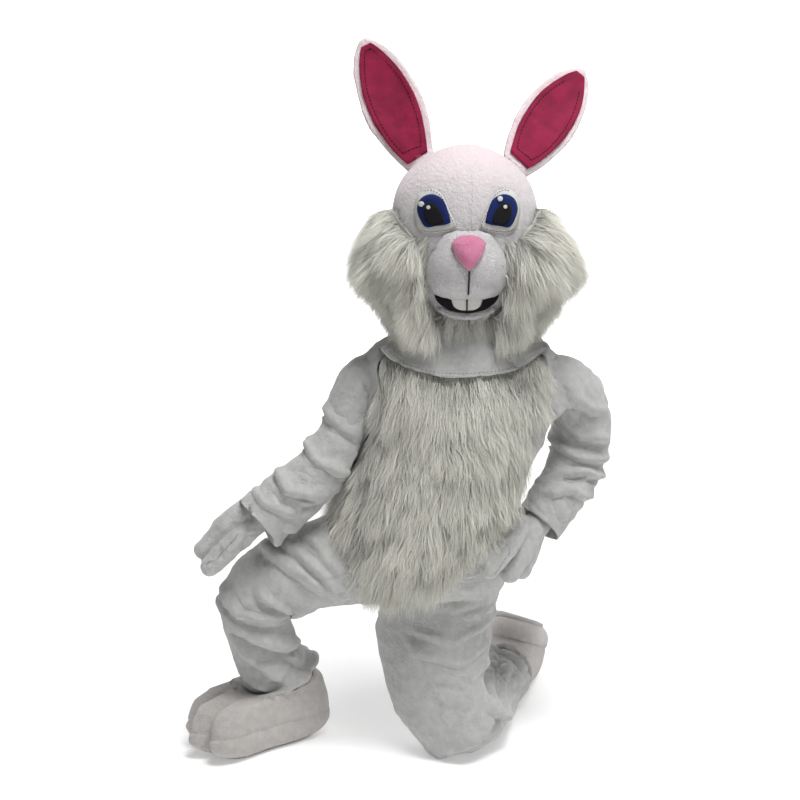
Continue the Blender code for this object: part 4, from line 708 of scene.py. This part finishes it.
# %% Face patches
PATCHES = {
    "eye_white_left": white_felt, "eye_white_right": white_felt,
    "iris_left": blue_felt, "iris_right": blue_felt,
    "pupil_left": black_felt, "pupil_right": black_felt,
    "highlight_left_high": white_felt, "highlight_left_low": white_felt,
    "highlight_right_high": white_felt, "highlight_right_low": white_felt,
    "mouth": black_felt, "lip_seam": black_felt,
    "tooth_left": white_felt, "tooth_right": white_felt,
}
patches = {node: dressed(node, cloth, 1, 0.0) for node, cloth in PATCHES.items()}


def stretched(piece, factor, aside=0.0):
    """Makes a piece taller from its lowest point up, and moves it aside."""
    points = points_of(piece.data)
    low = points[:, 2].min()
    points[:, 2] = low + (points[:, 2] - low) * factor
    points[:, 0] += aside
    move_points(piece.data, points)


stretched(patches["mouth"], 1.25)
stretched(patches["tooth_left"], 1.7, 0.0007)
stretched(patches["tooth_right"], 1.7, -0.0007)
print("face patches:", len(patches))

# %% [markdown]
# Stitches
#
# The patches are sewn down by hand near their edge. A stitch is a thin bead
# of thread, eight triangles, that lies on the cloth along the seam's line.


# %% Stitches along a rim
AHEAD = Vector((0, -1, 0))
FACES_AHEAD = 0.45  # the least part of a face's normal that points ahead


def front_rim(node, inset):
    """The outline of a flat solid's front, moved in by `inset` metres."""
    solid = bmesh.new()
    solid.from_mesh(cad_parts[node].data)
    bmesh.ops.remove_doubles(solid, verts=solid.verts, dist=WELD)
    solid.normal_update()
    front = {face for face in solid.faces if face.normal @ AHEAD > FACES_AHEAD}
    rim = [edge for edge in solid.edges if sum(face in front for face in edge.link_faces) == 1]
    beside = {}
    for edge in rim:
        for here, there in (edge.verts, reversed(edge.verts)):
            beside.setdefault(here.index, []).append(there.index)
    solid.verts.index_update()
    places = {point.index: np.array(point.co) for point in solid.verts}
    start = min(beside)
    loop, last = [start], None
    while True:
        onward = [k for k in beside[loop[-1]] if k != last and k not in loop[1:]]
        if not onward or onward[0] == start:
            break
        last = loop[-1]
        loop.append(onward[0])
    solid.free()
    path = np.array([places[k] for k in loop])
    path = np.vstack([path, path[:1]])
    along = np.gradient(path, axis=0)
    along[0] = along[-1] = path[1] - path[-2]
    inward = unit(np.cross(along, np.array(AHEAD)))
    if ((path.mean(axis=0) - path) * inward).sum() < 0:
        inward = -inward
    return path + inward * inset


def stitches(name, path, carrier, material, long, gap, thick, lift=0.0006):
    """Beads of thread `long` and `thick`, with a `gap` between them, along a
    path; each is laid on a dressed piece, `lift` above it."""
    reach = length_along(path)
    count = max(2, round(reach[-1] / (long + gap)))
    at = (np.arange(count) + 0.5) * reach[-1] / count
    ends = [np.stack([np.interp(at + half, reach, path[:, k]) for k in range(3)], axis=1)
            for half in (-long / 2, long / 2)]
    tree = BVHTree.FromObject(carrier, bpy.context.evaluated_depsgraph_get())
    laid = []
    for place in np.concatenate(ends):
        near, normal, _, _ = tree.find_nearest(tuple(place))
        laid.append((*(near + normal * lift), *normal))
    laid = np.array(laid)
    start, end, up = laid[:count, :3], laid[count:, :3], unit(laid[:count, 3:])
    aside = unit(np.cross(end - start, up)) * thick
    middle = (start + end) / 2
    rows = np.stack([start, end, middle + aside, middle - aside,
                     middle + up * thick, middle - up * thick], axis=1)
    sides = np.array([[0, 2, 4], [2, 1, 4], [1, 3, 4], [3, 0, 4],
                      [2, 0, 5], [1, 2, 5], [3, 1, 5], [0, 3, 5]])
    faces = sides[None] + 6 * np.arange(count)[:, None, None]
    mesh = bpy.data.meshes.new(name)
    mesh.from_pydata(rows.reshape(-1, 3), [], faces.reshape(-1, 3).tolist())
    mesh.shade_smooth()
    return show(name, mesh, material)


grey_thread = felt("grey_thread", (0.08, 0.08, 0.08))
dark_thread = felt("dark_thread", (0.035, 0.002, 0.008))
EYE_INSET, EAR_INSET, BIB_INSET = 0.0030, 0.012, 0.009
for side in SIDES:
    stitches(f"eye_stitches_{side}", front_rim(f"eye_white_{side}", EYE_INSET),
             patches[f"eye_white_{side}"], grey_thread, 0.006, 0.0012, 0.0008)
for side, lining in zip(SIDES, ear_linings):
    stitches(f"ear_stitches_{side}", front_rim(f"ear_inner_{side}", EAR_INSET),
             lining, dark_thread, 0.008, 0.0006, 0.0012)

# %% [markdown]
# A seam that no rim gives is drawn in front of its piece, and every stitch
# drops on to the nearest place of the cloth.

# %% Seams of the gloves, the bib and the forehead
SEAM_POINTS = 24  # points that a drawn line is divided into
GLOVE_SEAMS = {
    "left": [(0.089, -0.22, -0.418), (0.115, -0.22, -0.457), (0.113, -0.22, -0.491),
             (0.076, -0.22, -0.528)],
    "right": [(-0.496, -0.22, -0.411), (-0.529, -0.22, -0.459), (-0.586, -0.22, -0.491)],
}
for side, glove in zip(GLOVES, gloves):
    seam = np.array(GLOVE_SEAMS[side])
    at = np.linspace(0, len(seam) - 1, SEAM_POINTS)
    seam = np.stack([np.interp(at, np.arange(len(seam)), seam[:, k]) for k in range(3)], axis=1)
    stitches(f"glove_stitches_{side}", seam, glove, grey_thread, 0.005, 0.0008, 0.0008, 0.0002)
stitches("collar_stitches", front_rim("neck_bib", BIB_INSET), bib, grey_thread,
         0.006, 0.003, 0.0006, 0.0002)

BROW_MIDDLE, BROW_AHEAD, BROW_LOW, BROW_HIGH = 0.008, -0.20, 0.225, 0.395
brow = np.linspace((BROW_MIDDLE, BROW_AHEAD, BROW_HIGH), (BROW_MIDDLE, BROW_AHEAD, BROW_LOW),
                   SEAM_POINTS)
stitches("forehead_stitches", brow, head, grey_thread, 0.0035, 0.003, 0.0005, 0.0)

# %% [markdown]
# Long fur
#
# Fur this long reads as locks, not as texture. Every lock is a ribbon of five
# triangles that starts on the backing cloth, leans the way the fur is combed,
# droops, and ends in a point. Locks whose roots lie in the same small cell
# pull together at the tips, which is what makes fur look clumped.


# %% Roots on a piece
def outer_walls(node, keep):
    """The triangles of a node that `keep(centres, normals)` picks, as corner
    places, unit normals and areas."""
    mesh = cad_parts[node].data
    mesh.calc_loop_triangles()
    corner = np.empty(len(mesh.loop_triangles) * 3, dtype=np.int32)
    mesh.loop_triangles.foreach_get("vertices", corner)
    corners = points_of(mesh)[corner.reshape(-1, 3)]
    across = np.cross(corners[:, 1] - corners[:, 0], corners[:, 2] - corners[:, 0])
    area = np.linalg.norm(across, axis=1) / 2
    picked = keep(corners.mean(axis=1), unit(across)) & (area > 1e-9)
    return corners[picked], unit(across)[picked], area[picked]


def scatter(corners, normals, area, count, random):
    """`count` places spread evenly over triangles: a triangle is drawn with
    the chance of its area, and a place in it by u, v folded to u + v < 1."""
    face = random.choice(len(area), size=count, p=area / area.sum())
    u, v = random.random((2, count))
    folded = u + v > 1
    u, v = np.where(folded, 1 - u, u), np.where(folded, 1 - v, v)
    a, b, c = corners[face].transpose(1, 0, 2)
    return a + u[:, None] * (b - a) + v[:, None] * (c - a), normals[face]


LOCK_STEPS = np.array([0.0, 0.34, 0.7, 1.0])  # places along a lock, its tip last
LOCK_TAPER = np.array([1.0, 0.85, 0.5])  # its width there, as a share
LOCK_LONG = (0.6, 1.22)  # its length, as a share of what is asked for
LOCK_TURNS = (0.6, 1.4)  # waves along it
STRAY, FUZZ, TWIST = 0.35, 0.12, 0.4  # how far locks turn together, alone and over
CELL_SHIFT = 0.012  # metres that the border of a cell wanders


def locks(name, roots, normals, comb, length, width, material, random, lean,
          clump, pull, wave, droop):
    """Ribbons along root + L*(t*way + droop*t^2*down), bent by a sine wave and
    drawn towards the middle of their cell as t grows. Each has three pairs of
    points and a tip; its flat side looks along the root's normal."""
    count = len(roots)
    way = unit(comb * (1 - lean) + normals * lean)
    stray = np.stack([cloud(roots, 0.05, k) for k in (11, 12, 13)], axis=1)
    way = unit(way + STRAY * stray + FUZZ * random.normal(size=(count, 3)))
    warped = roots + CELL_SHIFT * np.stack([cloud(roots, 0.02, k) for k in (21, 22, 23)], 1)
    middle = (np.floor(warped / clump) + 0.5) * clump
    across = unit(np.cross(way, normals + TWIST * random.normal(size=(count, 3))))
    long = length * random.uniform(*LOCK_LONG, count)
    phase, turns = random.uniform(0, 6.28, count), random.uniform(*LOCK_TURNS, count)
    spine = []
    for t in LOCK_STEPS:
        sway = wave * t * np.sin(phase + turns * 6.28 * t)
        place = roots + (long * t)[:, None] * way + across * sway[:, None]
        place[:, 2] -= droop * long * t * t
        towards = middle - roots
        towards -= (towards * way).sum(axis=1, keepdims=True) * way
        spine.append(place + towards * pull * t * t)
    spine = np.stack(spine, axis=1)
    half = across[:, None] * (width / 2 * LOCK_TAPER)[None, :, None]
    rows = np.concatenate([spine[:, :3] - half, spine[:, :3] + half, spine[:, 3:]], axis=1)
    start = 7 * np.arange(count)[:, None]
    quads = np.concatenate([start + [0, 3, 4, 1], start + [1, 4, 5, 2]])
    tips = start + [2, 5, 6]
    mesh = bpy.data.meshes.new(name)
    mesh.from_pydata(rows.reshape(-1, 3), [], quads.tolist() + tips.tolist())
    shade = np.tile([0.0, 0.45, 0.8, 0.0, 0.45, 0.8, 1.0], count)  # root to tip
    tone = np.repeat(random.random(count), 7)
    for key, value in (("along", shade), ("tone", tone)):
        layer = mesh.attributes.new(key, "FLOAT", "POINT")
        layer.data.foreach_set("value", value.astype(np.float32))
    mesh.shade_smooth()
    return show(name, mesh, material)


# %% [markdown]
# Fur is darker at its roots, where little light gets in, and every lock has
# its own tone. Both are stored on the mesh as it is grown.


# %% Fur's colour
def fur_material(name, root_colour, tip_colour):
    """A colour from root to tip, made lighter or darker lock by lock."""
    material, tree, shader = new_material(name, tip_colour, 0.6, 0.25)
    along = tree.nodes.new("ShaderNodeAttribute")
    along.attribute_name = "along"
    tone = tree.nodes.new("ShaderNodeAttribute")
    tone.attribute_name = "tone"
    ramp = mixed(tree, along.outputs["Fac"], root_colour, tip_colour, 0.0, 0.75)
    scale = tree.nodes.new("ShaderNodeMapRange")
    set_inputs(scale, {"To Min": 0.82, "To Max": 1.06})
    tree.links.new(tone.outputs["Fac"], scale.inputs["Value"])
    times = tree.nodes.new("ShaderNodeVectorMath")
    times.operation = "SCALE"
    tree.links.new(ramp, times.inputs[0])
    tree.links.new(scale.outputs["Result"], times.inputs["Scale"])
    tree.links.new(times.outputs["Vector"], shader.inputs["Base Color"])
    return material


long_fur = fur_material("long_fur", shaded(FUR_WHITE, 0.42), FUR_WHITE)
# The backing is coloured darker than the fur: painted shade in the depth between the locks.
fur_backing = plush("fur_backing", shaded(FUR_WHITE, 0.7))

# %% [markdown]
# The belly's fur hangs down and sways to both sides. Its roots lie under the
# outer surface that the frame gives it, so that the tips end about there.

# %% Belly fur
BELLY_LOCKS = 31000
ROOT_DEPTH = 0.008  # metres that roots lie under the surface
grown = np.random.default_rng(7)
# The belly's backing carries painted shade, darker than the fur, between the locks.
dressed("belly_fur", fur_backing, 2, 0.002, 0.05, grow=-ROOT_DEPTH)
walls = outer_walls("belly_fur", lambda at, way: (way[:, 1] < 0.25) & (at[:, 1] < 0.05))
roots, outward = scatter(*walls, BELLY_LOCKS, grown)
sway = cloud(roots * (1, 0.3, 0.6), 0.10, 71)
level = np.zeros(BELLY_LOCKS)
combed = np.stack([0.9 * roots[:, 0] + 0.05 + 0.55 * sway, level - 0.12, level - 1], axis=1)
long = 0.066 + 0.022 * cloud(roots, 0.07, 73)
locks("belly_locks", roots - outward * ROOT_DEPTH, outward, unit(combed), long, 0.0017,
      long_fur, grown, lean=0.20, clump=0.045, pull=0.55, wave=0.007, droop=0.2)

# %% [markdown]
# The cheeks' fur starts beside the muzzle and sweeps out and down round the
# jaw, so its comb points away from the middle of the muzzle. Some of it is
# sewn on to the head itself, where it overlaps the muzzle's edge, and some
# hangs from under the lip. It is shorter low on the outer side.

# %% Cheek fur
MUZZLE_MIDDLE = np.array([0.008, -0.10, 0.185])
HEAD_MIDDLE = (0, 0.0, 0.2)
EDGE = 0.080  # how far from the middle the fur on the head starts
STRIP_BACK, STRIP_TOP = 0.02, 0.215  # how far back and up it goes
LIP_LOW = 0.040  # the beard starts below this height
TUCK, TUCK_ASIDE = 0.40, 0.09  # share drawn in of what lies further out than this
TUCK_FROM, TUCK_DEPTH = 0.18, 0.15  # the height it starts below, and is full after
OUTER_AT, OUTER_WIDE = 0.10, 0.06  # how far out the outer side starts, and is full after
SHORT_AT, SHORT_RISE = 0.02, 0.14  # where its length is nothing, and is full after
INNER_LONG, SHORTEST = 1.15, 0.5  # length near the chin, and the least on the outer side
PRESSED = 0.6  # share of the comb that points off the surface and is taken out
BACKING_DEPTH = 0.012  # metres that the backing lies under the surface


def beside_muzzle(sign):
    """Picks the strip of the head between the muzzle and one cheek."""
    def keep(at, way):
        aside = (at[:, 0] - MUZZLE_MIDDLE[0]) * sign
        outside = (way * (at - HEAD_MIDDLE)).sum(axis=1) > 0
        return (aside > EDGE) & (at[:, 1] < STRIP_BACK) & (at[:, 2] < STRIP_TOP) & outside
    return keep


def under_the_lip(at, way):
    """Picks the lowest strip of the head's front, where the beard starts."""
    return (at[:, 2] < LIP_LOW) & (at[:, 1] < 0.0) & (way[:, 1] < 0.1)


def facing_out(at, way):
    """Picks the walls that look away from the upright line through the neck."""
    return (way * (at - (0, 0, at[:, 2].mean()))).sum(axis=1) > 0


def tucked(points):
    """Draws the lower half of a cheek in to the jaw, the more the further
    out and the lower it is."""
    low = np.clip((TUCK_FROM - points[:, 2]) / TUCK_DEPTH, 0, 1)
    out = np.clip(np.abs(points[:, 0]) - TUCK_ASIDE, 0, 1)
    points = points.copy()
    points[:, 0] -= np.sign(points[:, 0]) * TUCK * low * out
    return points


def cheek_fur(name, walls, count, sign, long):
    """Locks on one surface, combed out and down, away from the muzzle."""
    roots, outward = scatter(*walls, count, grown)
    outer = np.clip((np.abs(roots[:, 0]) - OUTER_AT) / OUTER_WIDE, 0, 1)
    trimmed = np.clip((roots[:, 2] - SHORT_AT) / SHORT_RISE, SHORTEST, 1)
    short = INNER_LONG - outer * (INNER_LONG - trimmed)
    roots = tucked(roots)
    away = unit(roots - MUZZLE_MIDDLE)
    sway = 0.35 * cloud(roots, 0.06, 75)
    level = np.zeros(count)
    fall = np.stack([0.15 * sign + sway, level - 0.1, level - 0.85], axis=1)
    combed = unit(away * (1.0, 0.5, 0.5) + fall)
    combed = unit(combed - outward * (combed * outward).sum(axis=1, keepdims=True) * PRESSED)
    reach = long * short * (1 + 0.4 * cloud(roots, 0.05, 77))
    locks(name, roots - outward * ROOT_DEPTH, outward, combed, reach, 0.0012,
          long_fur, grown, lean=0.30, clump=0.030, pull=0.38, wave=0.007, droop=0.40)


cheeks = []
for side, sign in zip(SIDES, (1, -1)):
    node = f"cheek_fur_{side}"
    # The cheek's backing carries painted shade, darker than the fur, between the locks.
    backing = dressed(node, fur_backing, 2, 0.003, 0.05, grow=-BACKING_DEPTH)
    move_points(backing.data, tucked(points_of(backing.data)))
    cheeks.append(backing)
    face = f"head_front_{side}"
    cheek_fur(f"cheek_locks_{side}", outer_walls(node, facing_out), 28000, sign, 0.060)
    cheek_fur(f"jaw_locks_{side}", outer_walls(face, beside_muzzle(sign)), 7000, sign, 0.050)
    cheek_fur(f"chin_locks_{side}", outer_walls(face, under_the_lip), 3500, 0, 0.038)

# %% [markdown]
# Floor and light
#
# White paper lies under the costume and stands behind it. It glows a little,
# so that it stays white, and one large lamp overhead gives the soft shadows.

# %% Floor and light
PAPER_ASIDE, PAPER_FRONT, PAPER_BACK, PAPER_TOP = 9, -5, 4.0, 5
FLOOR_GLOW, WALL_GLOW, WORLD_GLOW = 0.25, 0.9, 0.10


def staged(name, corners, glow):
    """A flat sheet of white paper that isn't part of the costume."""
    mesh = bpy.data.meshes.new(name)
    mesh.from_pydata(corners, [], [(0, 1, 2, 3)])
    material, _, shader = new_material(name, (0.92, 0.92, 0.92), 0.9)
    set_inputs(shader, {"Emission Color": (1, 1, 1, 1), "Emission Strength": glow})
    mesh.materials.append(material)
    placed(name, mesh)


def paper(low, high):
    """The four corners of a sheet of paper between two lines across it."""
    return [(-PAPER_ASIDE, low), (PAPER_ASIDE, low), (PAPER_ASIDE, high), (-PAPER_ASIDE, high)]


floor = [(x, y, FLOOR_HEIGHT) for x, y in paper(PAPER_FRONT, PAPER_BACK)]
staged("floor", floor, FLOOR_GLOW)
wall = [(x, PAPER_BACK, z) for x, z in paper(FLOOR_HEIGHT, PAPER_TOP)]
staged("backdrop", wall, WALL_GLOW)

world = bpy.data.worlds.new("studio")
world.use_nodes = True
sky = {"Color": (0.97, 0.98, 1.0, 1), "Strength": WORLD_GLOW}
set_inputs(world.node_tree.nodes["Background"], sky)
bpy.context.scene.world = world
bpy.context.scene.view_settings.view_transform = "Standard"


def lamp(name, place, aim, size, power):
    """A soft square light that looks at a point."""
    light = bpy.data.lights.new(name, "AREA")
    light.size, light.energy = size, power
    made = placed(name, light)
    made.location = place
    made.rotation_euler = (Vector(aim) - Vector(place)).to_track_quat("-Z", "Y").to_euler()


lamp("overhead", (0.7, -1.3, 4.0), (-0.1, 0, -0.3), 2.2, 225)
lamp("front", (1.6, -3.6, 1.2), (-0.1, 0, -0.2), 1.2, 10)

# %% [markdown]
# Camera
#
# It stands at chest height and looks a little down. Its lens and its tilt are
# stated in picture rows: the focal length is that many rows of a square
# picture, and the horizon lies that many rows above its middle.

# %% Camera
PICTURE_ROWS, FOCAL_ROWS, HORIZON_ROWS = 800, 1320, 186
EYE_ASIDE, EYE_AWAY = -0.142, 3.0
EYE_HEIGHT = 1.220 + FLOOR_HEIGHT
TILT = math.atan(HORIZON_ROWS / FOCAL_ROWS)
SENSOR = 36
view = bpy.data.cameras.new("view")
view.sensor_width = SENSOR
view.lens = FOCAL_ROWS / PICTURE_ROWS * SENSOR
camera = placed("camera", view)
camera.location = (EYE_ASIDE, -EYE_AWAY, EYE_HEIGHT)
camera.rotation_euler = (math.pi / 2 - TILT, 0, 0)
bpy.context.scene.camera = camera

# %% [markdown]
# What the cloth was cut to
#
# Every row is the part of the cut that shows, in metres: the rectangle that
# its pieces are laid out in, and their area. What is stuffed or foam has a
# fill instead, from 0 for slack to 1 for full.

# %% Cut
SUIT_SKIN, HEAD_SKIN = "front_panel_left_cloth", "head_front_left_cloth"
CUT = [
    # piece, width, length, area, held, rests on
    (SUIT_SKIN, 1.50, 1.45, 1.62, "draped", []),
    ("back_placket_cloth", 0.075, 0.49, 0.0275, "laid", [SUIT_SKIN]),
    ("neck_bib_cloth", 0.38, 0.19, 0.041, "laid", [SUIT_SKIN]),
    ("belly_fur_cloth", 0.50, 0.60, 0.225, "laid", [SUIT_SKIN]),
    ("ear_inner_left_cloth", 0.12, 0.26, 0.0236, "stretched", ["ear_left_cloth"]),
    ("ear_inner_right_cloth", 0.12, 0.29, 0.0243, "stretched", ["ear_right_cloth"]),
    *[(f"eye_white_{side}_cloth", 0.092, 0.105, 0.0071, "laid", [HEAD_SKIN])
      for side in SIDES],
    *[(f"iris_{side}_cloth", 0.074, 0.080, 0.0044, "laid", [f"eye_white_{side}_cloth"])
      for side in SIDES],
    *[(f"pupil_{side}_cloth", 0.046, 0.056, 0.0018, "laid", [f"iris_{side}_cloth"])
      for side in SIDES],
    ("highlight_left_high_cloth", 0.013, 0.013, 0.00014, "laid", ["iris_left_cloth"]),
    ("highlight_left_low_cloth", 0.010, 0.010, 0.00008, "laid", ["pupil_left_cloth"]),
    ("highlight_right_high_cloth", 0.014, 0.014, 0.00015, "laid", ["iris_right_cloth"]),
    ("highlight_right_low_cloth", 0.010, 0.010, 0.00008, "laid", ["pupil_right_cloth"]),
    ("mouth_cloth", 0.142, 0.046, 0.0038, "laid", [HEAD_SKIN]),
    ("lip_seam_cloth", 0.010, 0.062, 0.00033, "laid", ["muzzle_left_cloth"]),
    *[(f"tooth_{side}_cloth", 0.034, 0.032, 0.00093, "laid", ["mouth_cloth"])
      for side in SIDES],
    ("sole_left_cloth", 0.15, 0.27, 0.0328, "laid", ["foot_upper_left_cloth"]),
    ("sole_right_cloth", 0.14, 0.25, 0.0262, "laid", ["foot_upper_right_cloth"]),
]
for name, width, length, area, held, under in CUT:
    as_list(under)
STUFFED = [(head, 1.0), (muzzle, 0.9), (lip, 0.8), (nose, 0.9)]
STUFFED += [(shell, 0.5) for shell in ear_shells] + [(cheek, 0.6) for cheek in cheeks]
STUFFED += [(foot, 0.9) for foot in feet] + [(glove, 0.7) for glove in gloves]
